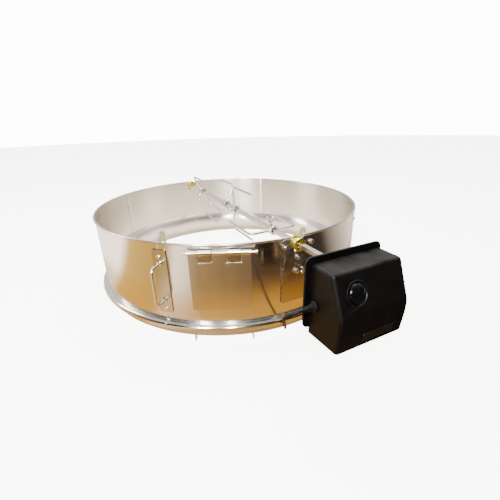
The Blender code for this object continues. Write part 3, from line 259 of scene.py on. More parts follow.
def open_line(bm, points):
    """Edges through points given in the X-Z plane."""
    verts = [bm.verts.new((x, 0.0, z)) for x, z in points]
    edges = [bm.edges.new(pair) for pair in zip(verts, verts[1:])]
    return verts + edges


def build(name, bm, look, body, smooth=35.0, replaced=()):
    mesh = bpy.data.meshes.new(name)
    bm.to_mesh(mesh)
    bm.free()
    mesh.shade_smooth()
    mesh.set_sharp_from_angle(angle=math.radians(smooth))
    mesh.materials.append(look)
    piece = bpy.data.objects.new(name, mesh)
    bpy.context.collection.objects.link(piece)
    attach(piece, body)
    if replaced:
        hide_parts(*replaced)
    return piece


def thicken(piece, thick, offset=0.0):
    """Give a single sheet its gauge."""
    step = piece.modifiers.new("gauge", "SOLIDIFY")
    step.thickness = thick
    step.offset = offset
    step.use_even_offset = True
    return step


def soften(piece, width, segments=2, angle=40.0):
    """Break the sharp edges."""
    step = piece.modifiers.new("broken_edges", "BEVEL")
    step.width = width
    step.segments = segments
    step.limit_method = "ANGLE"
    step.angle_limit = math.radians(angle)
    return step


def even_shading(piece):
    """Let the broad faces set the shading where they meet small ones."""
    step = piece.modifiers.new("even_shading", "WEIGHTED_NORMAL")
    step.mode = "FACE_AREA"
    step.weight = 60
    step.keep_sharp = True


def unwrap_round(bm):
    """UV map in metres: along the rim, and up."""
    layer = bm.loops.layers.uv.new("sheet")
    for face in bm.faces:
        middle = face.calc_center_median()
        base = math.atan2(middle.y, middle.x - RING_X)
        for loop in face.loops:
            spot = loop.vert.co
            turn = math.atan2(spot.y, spot.x - RING_X) - base
            turn = (turn + math.pi) % math.tau - math.pi
            out = math.hypot(spot.x - RING_X, spot.y)
            loop[layer].uv = ((base + turn) * WALL_OUT, spot.z + out)


def new_group(name, inputs, outputs):
    """Empty shader group with named sockets; returns tree, input and output."""
    made = bpy.data.node_groups.new(name, "ShaderNodeTree")
    for title, kind, value in inputs:
        socket = made.interface.new_socket(title, in_out="INPUT", socket_type=kind)
        if value is not None:
            socket.default_value = value
    for title, kind in outputs:
        made.interface.new_socket(title, in_out="OUTPUT", socket_type=kind)
    start = made.nodes.new("NodeGroupInput")
    end = made.nodes.new("NodeGroupOutput")
    return made, start.outputs, end.inputs


def noise(tree, vector, scale, detail=3.0, rough=0.55):
    node = tree.nodes.new("ShaderNodeTexNoise")
    node.inputs["Scale"].default_value = scale
    node.inputs["Detail"].default_value = detail
    node.inputs["Roughness"].default_value = rough
    tree.links.new(vector, node.inputs["Vector"])
    return node.outputs["Fac"]


# fine lines left by the belt that finished the sheet, drawn out one way
NUMBER = "NodeSocketFloat"
TRIPLE = "NodeSocketVector"
brushed, feed, give = new_group(
    "brushed_lines",
    [("Vector", TRIPLE, None), ("Stretch", TRIPLE, (8.0, 1500.0, 1500.0))],
    [("Lines", NUMBER), ("Drift", NUMBER)],
)
pull = brushed.nodes.new("ShaderNodeVectorMath")
pull.operation = "MULTIPLY"
brushed.links.new(feed["Vector"], pull.inputs[0])
brushed.links.new(feed["Stretch"], pull.inputs[1])
fine = noise(brushed, pull.outputs[0], 1.0, 4.0, 0.65)
brushed.links.new(between(brushed, fine, 0.25, 0.75), give["Lines"])
slow = brushed.nodes.new("ShaderNodeVectorMath")
slow.operation = "SCALE"
slow.inputs["Scale"].default_value = 0.03
brushed.links.new(pull.outputs[0], slow.inputs[0])
brushed.links.new(between(brushed, noise(brushed, slow.outputs[0], 1.0, 2.0), 0.3, 0.7), give["Drift"])

# fingermarks and hairline scratches from use
marks, feed, give = new_group(
    "handling_marks",
    [("Vector", TRIPLE, None), ("Scale", NUMBER, 14.0)],
    [("Smudge", NUMBER), ("Scratch", NUMBER)],
)
smear = marks.nodes.new("ShaderNodeTexNoise")
smear.inputs["Detail"].default_value = 4.0
smear.inputs["Distortion"].default_value = 0.8
marks.links.new(feed["Vector"], smear.inputs["Vector"])
marks.links.new(feed["Scale"], smear.inputs["Scale"])
marks.links.new(between(marks, smear.outputs["Fac"], 0.50, 0.72, smooth=True), give["Smudge"])
hair = marks.nodes.new("ShaderNodeTexVoronoi")
hair.feature = "DISTANCE_TO_EDGE"
skew = marks.nodes.new("ShaderNodeMapping")
skew.inputs["Rotation"].default_value = (0.4, 0.9, 0.3)
skew.inputs["Scale"].default_value = (1.0, 9.0, 3.0)
marks.links.new(feed["Vector"], skew.inputs["Vector"])
marks.links.new(skew.outputs["Vector"], hair.inputs["Vector"])
marks.links.new(sums(marks, "MULTIPLY", feed["Scale"], 1.6), hair.inputs["Scale"])
marks.links.new(between(marks, hair.outputs["Distance"], 0.0, 0.010, 1.0, 0.0), give["Scratch"])


def group_node(tree, group, vector, **values):
    node = tree.nodes.new("ShaderNodeGroup")
    node.node_tree = group
    tree.links.new(vector, node.inputs["Vector"])
    for title, value in values.items():
        node.inputs[title].default_value = value
    return node.outputs


def bump(tree, shader, height, distance, strength=1.0):
    node = tree.nodes.new("ShaderNodeBump")
    node.inputs["Distance"].default_value = distance
    node.inputs["Strength"].default_value = strength
    tree.links.new(height, node.inputs["Height"])
    tree.links.new(node.outputs["Normal"], shader.inputs["Normal"])


def coordinates(tree, kind="Object"):
    """Object coordinates, or the sheet's own UV map in metres."""
    if kind == "Object":
        return tree.nodes.new("ShaderNodeTexCoord").outputs["Object"]
    node = tree.nodes.new("ShaderNodeUVMap")
    node.uv_map = kind
    return node.outputs["UV"]


def steel_look(
    name, colour, rough, spread, stretch, grain, kind="Object", anisotropic=0.0,
    smudge=0.10, scale=14.0, scratch=0.03,
):
    """Stainless steel with its grain, fingermarks and hairline scratches."""
    look, tree, shader = new_look(name)
    spot = coordinates(tree, kind)
    lines = group_node(tree, brushed, spot, Stretch=stretch)
    worn = group_node(tree, marks, spot, Scale=scale)
    darker = tuple(value * 0.90 for value in colour)
    tint = blend_colours(tree, lines["Lines"], darker, colour)
    dulled = tuple(value * 0.93 for value in colour[:2]) + (colour[2] * 0.88,)
    tint = blend_colours(tree, sums(tree, "MULTIPLY", worn["Smudge"], 0.4), tint, dulled)
    tree.links.new(tint, shader.inputs["Base Color"])
    shader.inputs["Metallic"].default_value = 1.0
    value = sums(tree, "MULTIPLY_ADD", lines["Lines"], spread, rough)
    value = sums(tree, "MULTIPLY_ADD", lines["Drift"], spread * 0.7, value)
    value = sums(tree, "MULTIPLY_ADD", worn["Smudge"], smudge, value)
    value = sums(tree, "MULTIPLY_ADD", worn["Scratch"], scratch, value)
    tree.links.new(value, shader.inputs["Roughness"])
    height = sums(tree, "MULTIPLY_ADD", worn["Scratch"], -5.0 * scratch, lines["Lines"])
    bump(tree, shader, height, grain)
    if anisotropic > 0.0:
        shader.inputs["Anisotropic"].default_value = anisotropic
        shader.inputs["Anisotropic Rotation"].default_value = 0.25
        tangent = tree.nodes.new("ShaderNodeTangent")
        tangent.direction_type = "UV_MAP"
        tangent.uv_map = kind
        tree.links.new(tangent.outputs["Tangent"], shader.inputs["Tangent"])
    return look


wall_steel = steel_look(
    "polished_sheet", (0.86, 0.83, 0.78), 0.13, 0.04, (10.0, 2600.0, 1.0), 0.000001,
    kind="sheet", anisotropic=0.7, smudge=0.03, scale=9.0,
)
inside_steel = steel_look(
    "brushed_sheet_inside", (0.84, 0.81, 0.76), 0.25, 0.05, (10.0, 2600.0, 1.0), 0.000002,
    kind="sheet", anisotropic=0.85, smudge=0.04, scale=9.0,
)

rim_centre = (WALL_IN + RIM_ROLL, WALL_HEIGHT - RIM_ROLL)
SHEET_MIDDLE = WALL_IN + WALL_THICK / 2
nose = (WALL_OUT + BEAD_FLAT, -BEAD_ROUND)
sheet_line = along_arc(rim_centre, RIM_ROLL - WALL_THICK / 2, -60.0, 180.0, 14)
sheet_line += [(SHEET_MIDDLE, WALL_HEIGHT - 0.0032), (SHEET_MIDDLE, 0.0030)]
sheet_line += along_arc((SHEET_MIDDLE + 0.0012, 0.0006), 0.0012, 180.0, 270.0, 4)
sheet_line += along_arc(nose, BEAD_ROUND - WALL_THICK / 2, 90.0, -90.0, 16)
sheet_line.append((WALL_IN + 0.0002, -2 * BEAD_ROUND + WALL_THICK / 2))


def trim(bm, centre, normal):
    """Cut the sheet along a plane, leaving both sides."""
    bmesh.ops.bisect_plane(
        bm, geom=bm.verts[:] + bm.edges[:] + bm.faces[:], dist=0.000001,
        plane_co=centre, plane_no=normal,
    )


def open_up(bm, frame_here, half, low, high):
    """Cut a rectangular opening out of a sheet that faces along a frame's X."""
    across = frame_here.to_3x3() @ Vector((0.0, 1.0, 0.0))
    for side in (-1, 1):
        trim(bm, frame_here @ Vector((0.0, side * half, 0.0)), across)
    for level in (low, high):
        if level < WALL_HEIGHT:
            trim(bm, frame_here @ Vector((0.0, 0.0, level)), (0.0, 0.0, 1.0))
    back = frame_here.inverted()
    gone = []
    for face in bm.faces:
        spot = back @ face.calc_center_median()
        if spot.x > 0.2 and math.fabs(spot.y) < half and low < spot.z < high:
            gone.append(face)
    bmesh.ops.delete(bm, geom=gone, context="FACES")


def face_outward(bm):
    """Turn a round sheet's faces so that its upright wall looks outward."""
    tallest = max(bm.faces, key=lambda face: face.calc_area())
    middle = tallest.calc_center_median() - Vector((RING_X, 0.0, 0.0))
    middle.z = 0.0
    if tallest.normal.dot(middle) < 0.0:
        bmesh.ops.reverse_faces(bm, faces=bm.faces[:])


NOTCH_HALF = 0.0125
NOTCH_LOW = 0.119
DOOR_BEARING = -25.2
WINDOW_HALF = 0.040
WINDOW_LOW = 0.042
WINDOW_HIGH = 0.106
for name, start in (
    ("wall_front", -45.0), ("wall_left", 45.0), ("wall_back", 135.0), ("wall_right", 225.0),
):
    bm = bmesh.new()
    line = open_line(bm, sheet_line)
    bmesh.ops.rotate(
        bm, verts=bm.verts[:], cent=(0.0, 0.0, 0.0),
        matrix=Matrix.Rotation(math.radians(start + SLIT), 3, "Z"),
    )
    bmesh.ops.spin(
        bm, geom=line, cent=(0.0, 0.0, 0.0), axis=(0.0, 0.0, 1.0),
        angle=math.radians(90.0 - 2 * SLIT), steps=QUARTER_STEPS,
    )
    bmesh.ops.transform(bm, matrix=RING, verts=bm.verts[:])
    if name == "wall_front":
        open_up(bm, at_ring(0.0), NOTCH_HALF, NOTCH_LOW, WALL_HEIGHT + 0.01)
        open_up(bm, at_ring(DOOR_BEARING), WINDOW_HALF, WINDOW_LOW, WINDOW_HIGH)
    if name == "wall_back":
        open_up(bm, at_ring(180.0), NOTCH_HALF, NOTCH_LOW, WALL_HEIGHT + 0.01)
    bmesh.ops.recalc_face_normals(bm, faces=bm.faces[:])
    face_outward(bm)
    unwrap_round(bm)
    wall = build(name + "_sheet", bm, wall_steel, "ring", replaced=(name,))
    wall.data.materials.append(inside_steel)
    thicken(wall, WALL_THICK).material_offset = 1
    even_shading(wall)

# ---------------------------------------------------------------------------
# Inner band: a rolled hoop of stainless sheet inside the wall that drops into
# the kettle bowl. It is spot welded to the wall.
# ---------------------------------------------------------------------------
BAND_OUT = WALL_IN - 0.0003
BAND_THICK = 0.0010
BAND_TOP = 0.037
BAND_BOTTOM = -0.027
band_steel = steel_look(
    "band_sheet", (0.84, 0.81, 0.76), 0.24, 0.05, (10.0, 2400.0, 1.0), 0.000002,
    kind="sheet", anisotropic=0.85, smudge=0.03, scale=9.0,
)
bm = bmesh.new()
line = open_line(bm, [(BAND_OUT - BAND_THICK / 2, BAND_BOTTOM), (BAND_OUT - BAND_THICK / 2, BAND_TOP)])
bmesh.ops.spin(
    bm, geom=line, cent=(0.0, 0.0, 0.0), axis=(0.0, 0.0, 1.0), angle=math.tau,
    steps=216, use_merge=True,
)
bmesh.ops.remove_doubles(bm, verts=bm.verts[:], dist=0.000001)
bmesh.ops.transform(bm, matrix=RING, verts=bm.verts[:])
bmesh.ops.recalc_face_normals(bm, faces=bm.faces[:])
unwrap_round(bm)
band = build("inner_hoop", bm, band_steel, "ring", replaced=("inner_band",))
thicken(band, BAND_THICK)

# ---------------------------------------------------------------------------
# Locating tabs: six L-shaped stainless tabs, each riveted inside the band by its
# flat and with a thin fin square to it. The fins keep the ring central in the
# bowl, and the ring stands on them.
# ---------------------------------------------------------------------------
plate_steel = steel_look(
    "cut_plate", (0.60, 0.55, 0.46), 0.16, 0.05, (900.0, 900.0, 12.0), 0.000001,
    smudge=0.06, scale=22.0, scratch=0.015,
)


def dress(name, look, edge=0.0):
    """Give a CAD part its finish, with its cut edges broken."""
    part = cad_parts[name]
    if not part.material_slots:
        part.data.materials.append(look)
    for holder in part.material_slots:
        holder.material = look
    if edge > 0.0:
        join = part.modifiers.new("joined", "WELD")
        join.merge_threshold = 0.00001
        soften(part, edge, 2, 30.0)


TAB_BEARINGS = (-36.0, -15.0, 84.0, 105.0, 204.0, 225.0)
for index in range(6):
    dress(f"locating_tab_{index + 1}", plate_steel, 0.0003)


def dome(bm, radius, height, frame_here, segments=20):
    """Low round head standing on a frame's X face."""
    line = [bm.verts.new((-0.0006, radius, 0.0)), bm.verts.new((height * 0.25, radius, 0.0))]
    line.append(bm.verts.new((height * 0.70, radius * 0.80, 0.0)))
    line.append(bm.verts.new((height * 0.95, radius * 0.42, 0.0)))
    line.append(bm.verts.new((height, 0.0, 0.0)))
    line.insert(0, bm.verts.new((-0.0006, 0.0, 0.0)))
    edges = [bm.edges.new(pair) for pair in zip(line, line[1:])]
    old = set(bm.verts) - set(line)
    bmesh.ops.spin(
        bm, geom=line + edges, cent=(0.0, 0.0, 0.0), axis=(1.0, 0.0, 0.0),
        angle=math.tau, steps=segments, use_merge=True,
    )
    fresh = [vert for vert in bm.verts if vert not in old]
    bmesh.ops.remove_doubles(bm, verts=fresh, dist=0.000005)
    fresh = [vert for vert in bm.verts if vert not in old]
    bmesh.ops.transform(bm, matrix=frame_here, verts=fresh)


wire_steel = steel_look(
    "bright_wire", (0.84, 0.82, 0.78), 0.10, 0.05, (300.0, 300.0, 300.0), 0.000003,
    smudge=0.06, scale=40.0,
)
tab_face = BAND_OUT - BAND_THICK - 0.0009
bm = bmesh.new()
for bearing in TAB_BEARINGS:
    for across in (-0.0055, 0.0055):
        inward = at_ring(bearing) @ Matrix.Translation((tab_face - 0.0014, across, -0.007))
        inward = inward @ Matrix.Rotation(math.pi, 4, "Z")
        dome(bm, 0.0020, 0.0010, inward, 16)
bmesh.ops.recalc_face_normals(bm, faces=bm.faces[:])
build("tab_rivets", bm, wire_steel, "ring")

# ---------------------------------------------------------------------------
# Seam plates: upright stainless straps that close the four joints of the
# wall, each held by small pan-head screws at its top and foot.
# ---------------------------------------------------------------------------
for index in range(4):
    dress(f"seam_plate_{index + 1}", plate_steel, 0.0004)

PLATE_FACE = WALL_OUT + 0.0004 + 0.0015


def pan_screw(bm, frame_here, radius=0.0034, height=0.0022):
    """Pan head on a plate."""
    dome(bm, radius, height, frame_here, 24)


bm = bmesh.new()
for bearing in (-45.0, 45.0, 135.0, 225.0):
    for level in (0.1195, 0.0235):
        spot = at_ring(bearing) @ Matrix.Translation((PLATE_FACE + 0.0001, 0.0, level))
        pan_screw(bm, spot, 0.0036, 0.0020)
        inward = at_ring(bearing) @ Matrix.Translation((WALL_IN - 0.0001, 0.0, level))
        inward = inward @ Matrix.Rotation(math.pi, 4, "Z")
        pan_screw(bm, inward, 0.0036, 0.0018)
bmesh.ops.recalc_face_normals(bm, faces=bm.faces[:])
build("seam_screws", bm, wire_steel, "ring")

# ---------------------------------------------------------------------------
# Handles: two bails of 4.8 mm stainless wire, bent to shape, with their ends
# fixed in small bosses on the seam plates.
# ---------------------------------------------------------------------------
def wire_line(bm, corners, bend, radius, sides=14, steps=8):
    """Pull a round wire through corners, bending it round each one."""
    spots = [Vector(corner) for corner in corners]
    bends = bend if isinstance(bend, (list, tuple)) else [bend] * (len(spots) - 2)
    heading = (spots[1] - spots[0]).normalized()
    facing = heading.to_track_quat("Z", "Y").to_matrix().to_4x4()
    old = set(bm.verts)
    bmesh.ops.create_circle(
        bm, segments=sides, radius=radius, matrix=Matrix.Translation(spots[0]) @ facing,
    )
    rim = [vert for vert in bm.verts if vert not in old]
    edges = list({edge for vert in rim for edge in vert.link_edges})
    here = spots[0]

    def run_to(spot):
        nonlocal edges, here
        if (spot - here).length < 0.00002:
            return
        grown = bmesh.ops.extrude_edge_only(bm, edges=edges)["geom"]
        moved = [part for part in grown if isinstance(part, bmesh.types.BMVert)]
        bmesh.ops.translate(bm, verts=moved, vec=spot - here)
        chosen = set(moved)
        edges = [
            part for part in grown
            if isinstance(part, bmesh.types.BMEdge) and set(part.verts) <= chosen
        ]
        here = spot

    for index in range(1, len(spots) - 1):
        before = (spots[index - 1] - spots[index]).normalized()
        after = (spots[index + 1] - spots[index]).normalized()
        half = before.angle(after) / 2
        reach = bends[index - 1] / math.tan(half)
        run_to(spots[index] + before * reach)
        middle = spots[index] + (before + after).normalized() * bends[index - 1] / math.sin(half)
        axis = (-before).cross(after).normalized()
        grown = bmesh.ops.spin(
            bm, geom=edges, cent=middle, axis=axis, angle=math.pi - 2 * half, steps=steps,
        )["geom_last"]
        edges = [part for part in grown if isinstance(part, bmesh.types.BMEdge)]
        here = spots[index] + after * reach
    run_to(spots[-1])
    fresh = [vert for vert in bm.verts if vert not in old]
    open_edges = list({
        edge for vert in fresh for edge in vert.link_edges if edge.is_boundary
    })
    bmesh.ops.holes_fill(bm, edges=open_edges, sides=0)
    return fresh


HANDLE_WIRE = 0.0024
HANDLE_REACH = 0.0255
HANDLE_LOW = 0.0405
HANDLE_HIGH = 0.108
for index, bearing in enumerate((-45.0, 135.0)):
    foot = PLATE_FACE + 0.0003
    reach_out = WALL_OUT + HANDLE_REACH
    bm = bmesh.new()
    fresh = wire_line(bm, (
        (foot, 0.0, HANDLE_LOW), (reach_out, 0.0, HANDLE_LOW),
        (reach_out, 0.0, HANDLE_HIGH), (foot, 0.0, HANDLE_HIGH),
    ), 0.010, HANDLE_WIRE, 20, 12)
    for level in (HANDLE_LOW, HANDLE_HIGH):
        collar = Matrix.Translation((foot - 0.0001, 0.0, level))
        line = [
            bm.verts.new(spot) for spot in (
                (0.0, HANDLE_WIRE, 0.0), (0.0, 0.0046, 0.0), (0.0010, 0.0046, 0.0),
                (0.0017, 0.0038, 0.0), (0.0020, HANDLE_WIRE, 0.0),
            )
        ]
        edges = [bm.edges.new(pair) for pair in zip(line, line[1:] + line[:1])]
        old = set(bm.verts) - set(line)
        bmesh.ops.spin(
            bm, geom=line + edges, cent=(0.0, 0.0, 0.0), axis=(1.0, 0.0, 0.0),
            angle=math.tau, steps=28, use_merge=True,
        )
        turned_verts = [vert for vert in bm.verts if vert not in old]
        bmesh.ops.transform(bm, matrix=collar, verts=turned_verts)
    bmesh.ops.transform(bm, matrix=at_ring(bearing), verts=bm.verts[:])
    bmesh.ops.recalc_face_normals(bm, faces=bm.faces[:])
    build(
        f"bail_handle_{index + 1}", bm, wire_steel, "ring",
        replaced=(f"handle_{index + 1}",),
    )

# ---------------------------------------------------------------------------
# Charcoal door: a stainless flap over the window, rolled round its hinge pin
# at the top, with two cut-outs for the lugs that carry the pin.
# ---------------------------------------------------------------------------
DOOR_HALF = 0.049
DOOR_LOW = 0.030
DOOR_THICK = 0.0015
PIN_LEVEL = 0.132
EYE_BORE = 0.0023
DOOR_BACK = WALL_OUT + 0.0012
PIN_OUT = DOOR_BACK + EYE_BORE + DOOR_THICK
CUTOUT_CENTRE = 0.0225
CUTOUT_HALF = 0.0118
CUTOUT_LOW = 0.114
door_frame = at_ring(DOOR_BEARING)
door_steel = steel_look(
    "door_sheet", (0.78, 0.75, 0.70), 0.20, 0.03, (1500.0, 1500.0, 10.0), 0.0000004,
    smudge=0.03, scale=18.0, scratch=0.015,
)
bm = bmesh.new()
door_line = [(DOOR_BACK + DOOR_THICK / 2, DOOR_LOW), (DOOR_BACK + DOOR_THICK / 2, CUTOUT_LOW)]
door_line.append((DOOR_BACK + DOOR_THICK / 2, PIN_LEVEL - 0.0008))
door_line += along_arc((PIN_OUT, PIN_LEVEL), EYE_BORE + DOOR_THICK / 2, 180.0, -90.0, 24)
line = open_line(bm, door_line)
bmesh.ops.translate(bm, verts=bm.verts[:], vec=(0.0, -DOOR_HALF, 0.0))
grown = bmesh.ops.extrude_edge_only(bm, edges=bm.edges[:])["geom"]
moved = [part for part in grown if isinstance(part, bmesh.types.BMVert)]
bmesh.ops.translate(bm, verts=moved, vec=(0.0, 2 * DOOR_HALF, 0.0))
for centre in (-CUTOUT_CENTRE, CUTOUT_CENTRE):
    for side in (-1, 1):
        trim(bm, (0.0, centre + side * CUTOUT_HALF, 0.0), (0.0, 1.0, 0.0))
gone = []
for face in bm.faces:
    spot = face.calc_center_median()
    in_gap = abs(abs(spot.y) - CUTOUT_CENTRE) < CUTOUT_HALF
    if in_gap and (spot.z > CUTOUT_LOW or spot.x > PIN_OUT - 0.001):
        gone.append(face)
bmesh.ops.delete(bm, geom=gone, context="FACES")
bmesh.ops.transform(bm, matrix=door_frame, verts=bm.verts[:])
bmesh.ops.recalc_face_normals(bm, faces=bm.faces[:])
flap = build("door_flap", bm, door_steel, "door", replaced=("door",))
thicken(flap, DOOR_THICK)
soften(flap, 0.0003, 2, 50.0)
even_shading(flap)
for index in (1, 2):
    dress(f"door_lug_{index}", plate_steel, 0.0002)


def spun(bm, profile, segments, frame_here, closed=False):
    """Turn a (radius, along) profile round a frame's X axis."""
    line = [bm.verts.new((along, radius, 0.0)) for radius, along in profile]
    edges = [bm.edges.new(pair) for pair in zip(line, line[1:])]
    if closed:
        edges.append(bm.edges.new((line[-1], line[0])))
    old = set(bm.verts) - set(line)
    bmesh.ops.spin(
        bm, geom=line + edges, cent=(0.0, 0.0, 0.0), axis=(1.0, 0.0, 0.0),
        angle=math.tau, steps=segments, use_merge=True,
    )
    fresh = [vert for vert in bm.verts if vert not in old]
    bmesh.ops.remove_doubles(bm, verts=fresh, dist=0.000005)
    fresh = [vert for vert in bm.verts if vert not in old]
    bmesh.ops.transform(bm, matrix=frame_here, verts=fresh)
    return fresh


# the pin is headed at one end and rounded over at the other
PIN_RADIUS = 0.0020
PIN_LEFT = -0.055
PIN_RIGHT = 0.0565
bm = bmesh.new()
spun(bm, (
    (0.0, PIN_LEFT), (0.0012, PIN_LEFT + 0.0002), (PIN_RADIUS, PIN_LEFT + 0.0010),
    (PIN_RADIUS, PIN_RIGHT), (0.0031, PIN_RIGHT), (0.0035, PIN_RIGHT + 0.0004),
    (0.0035, PIN_RIGHT + 0.0018), (0.0026, PIN_RIGHT + 0.0028), (0.0, PIN_RIGHT + 0.0030),
), 24, door_frame @ Matrix.Translation((PIN_OUT, 0.0, PIN_LEVEL)) @ Matrix.Rotation(math.radians(90), 4, "Z"))
bmesh.ops.recalc_face_normals(bm, faces=bm.faces[:])
build("hinge_pin", bm, wire_steel, "ring", replaced=("door_pin",))

# ---------------------------------------------------------------------------
# Spit brackets: notched stainless plates bolted outside the rim at both ends
# of the spit, with a thin backing plate under the motor's hanger.
# ---------------------------------------------------------------------------
bracket_steel = steel_look(
    "bracket_plate", (0.56, 0.50, 0.42), 0.20, 0.06, (700.0, 700.0, 14.0), 0.000002,
    smudge=0.12, scale=30.0,
)
for name in ("ear_plate", "far_ear_plate", "backing_plate", "motor_hanger"):
    dress(name, bracket_steel, 0.0004)


def hex_nut(bm, frame_here, flats, thick, stub, thread=0.0023):
    """Washer, chamfered six-sided nut and the end of its screw."""
    spun(bm, (
        (thread, 0.0), (flats * 0.60, 0.0), (flats * 0.62, 0.0003), (flats * 0.60, 0.0007),
        (thread, 0.0007),
    ), 28, frame_here, closed=True)
    old = set(bm.verts)
    bmesh.ops.create_cone(
        bm, cap_ends=True, segments=6, radius1=flats / 2 / math.cos(math.pi / 6),
        radius2=flats / 2 / math.cos(math.pi / 6), depth=thick,
        matrix=frame_here @ Matrix.Translation((0.0008 + thick / 2, 0.0, 0.0))
        @ Matrix.Rotation(math.radians(90), 4, "Y"),
    )
    fresh = [vert for vert in bm.verts if vert not in old]
    edges = list({edge for vert in fresh for edge in vert.link_edges})
    bmesh.ops.bevel(
        bm, geom=edges, offset=0.0004, segments=2, profile=0.5, affect="EDGES", material=-1,
    )
    tip = 0.0008 + thick + stub
    spun(bm, (
        (0.0, 0.0009 + thick), (thread, 0.0009 + thick), (thread, tip - 0.0004),
        (thread - 0.0005, tip), (0.0, tip),
    ), 20, frame_here)


EAR_FACE = WALL_OUT + 0.0058
TONGUE_FACE = WALL_OUT + 0.0035
fixings = (
    ("ear_fixing_1", "ear_bolt_1", -0.0255, 0.1315, EAR_FACE),
    ("ear_fixing_2", "ear_bolt_2", 0.0255, 0.1315, EAR_FACE),
    ("hanger_fixing_1", "hanger_bolt_1", 0.0, 0.1095, EAR_FACE),
    ("hanger_fixing_2", "hanger_bolt_2", 0.0, 0.0835, TONGUE_FACE),
)
for name, node, across, level, face in fixings:
    bm = bmesh.new()
    outside = RING @ Matrix.Translation((face + 0.0001, across, level))
    hex_nut(bm, outside, 0.0080, 0.0026, 0.0010)
    inside = WALL_IN - abs(across) * 0.1 - 0.0012
    inward = RING @ Matrix.Translation((inside + 0.0001, across, level))
    dome(bm, 0.0042, 0.0030, inward @ Matrix.Rotation(math.pi, 4, "Z"), 24)
    spun(bm, ((0.0, inside), (0.0024, inside), (0.0024, face), (0.0, face)), 16,
         RING @ Matrix.Translation((0.0, across, level)))
    bmesh.ops.recalc_face_normals(bm, faces=bm.faces[:])
    build(name, bm, wire_steel, "ring", replaced=(node,))
bm = bmesh.new()
for across, level, face in ((0.0125, 0.0785, TONGUE_FACE), (-0.004, 0.1205, EAR_FACE)):
    dome(bm, 0.0034, 0.0020, RING @ Matrix.Translation((face + 0.0001, across, level)), 24)
bmesh.ops.recalc_face_normals(bm, faces=bm.faces[:])
build("bracket_rivets", bm, wire_steel, "ring")

# ---------------------------------------------------------------------------
# Spit: an 8 mm square bar of bright stainless with a tapered drive tip, and
# two turned brass bushings that ride in the bracket notches.
# ---------------------------------------------------------------------------
rod_steel = steel_look(
    "drawn_bar", (0.82, 0.80, 0.76), 0.14, 0.07, (12.0, 1800.0, 1800.0), 0.000012,
    smudge=0.08, scale=26.0,
)
dress("spit_rod", rod_steel, 0.0002)
SPIT_LEVEL = 0.132
spit_middle = RING @ Vector((0.0, 0.0, SPIT_LEVEL))
SPIT = Matrix.Translation(spit_middle)
brass, tree, shader = new_look("turned_brass")
spot = coordinates(tree)
rings = group_node(tree, brushed, spot, Stretch=(2600.0, 60.0, 60.0))
worn = group_node(tree, marks, spot, Scale=60.0)
tint = blend_colours(tree, rings["Lines"], (0.88, 0.72, 0.10), (0.98, 0.86, 0.20))
tint = blend_colours(tree, sums(tree, "MULTIPLY", worn["Smudge"], 0.4), tint, (0.62, 0.46, 0.10))
tree.links.new(tint, shader.inputs["Base Color"])
shader.inputs["Metallic"].default_value = 1.0
value = sums(tree, "MULTIPLY_ADD", rings["Lines"], 0.10, 0.20)
tree.links.new(sums(tree, "MULTIPLY_ADD", worn["Smudge"], 0.15, value), shader.inputs["Roughness"])
bump(tree, shader, rings["Lines"], 0.00002)

ROD_BORE = 0.005897
GROOVE_LOW = WALL_IN - 0.0006
GROOVE_HIGH = EAR_FACE + 0.0006
COLLAR = 0.0110
GROOVE = 0.0087
for name, turn in (("near", 0.0), ("far", math.pi)):
    bm = bmesh.new()
    spun(bm, (
        (ROD_BORE, GROOVE_LOW - 0.0055), (ROD_BORE + 0.0004, GROOVE_LOW - 0.006),
        (COLLAR - 0.0012, GROOVE_LOW - 0.006), (COLLAR - 0.0003, GROOVE_LOW - 0.0055),
        (COLLAR, GROOVE_LOW - 0.0046), (COLLAR, GROOVE_LOW - 0.0005),
        (COLLAR - 0.0004, GROOVE_LOW), (GROOVE, GROOVE_LOW), (GROOVE, GROOVE_HIGH),
        (COLLAR - 0.0004, GROOVE_HIGH), (COLLAR, GROOVE_HIGH + 0.0005),
        (COLLAR, GROOVE_HIGH + 0.0046), (COLLAR - 0.0003, GROOVE_HIGH + 0.0055),
        (COLLAR - 0.0012, GROOVE_HIGH + 0.006), (ROD_BORE + 0.0004, GROOVE_HIGH + 0.006),
        (ROD_BORE, GROOVE_HIGH + 0.0055),
    ), 64, SPIT @ Matrix.Rotation(turn, 4, "Z"), closed=True)
    bmesh.ops.recalc_face_normals(bm, faces=bm.faces[:])
    build(f"brass_bushing_{name}", bm, brass, "spit", smooth=30.0, replaced=(f"bushing_{name}",))

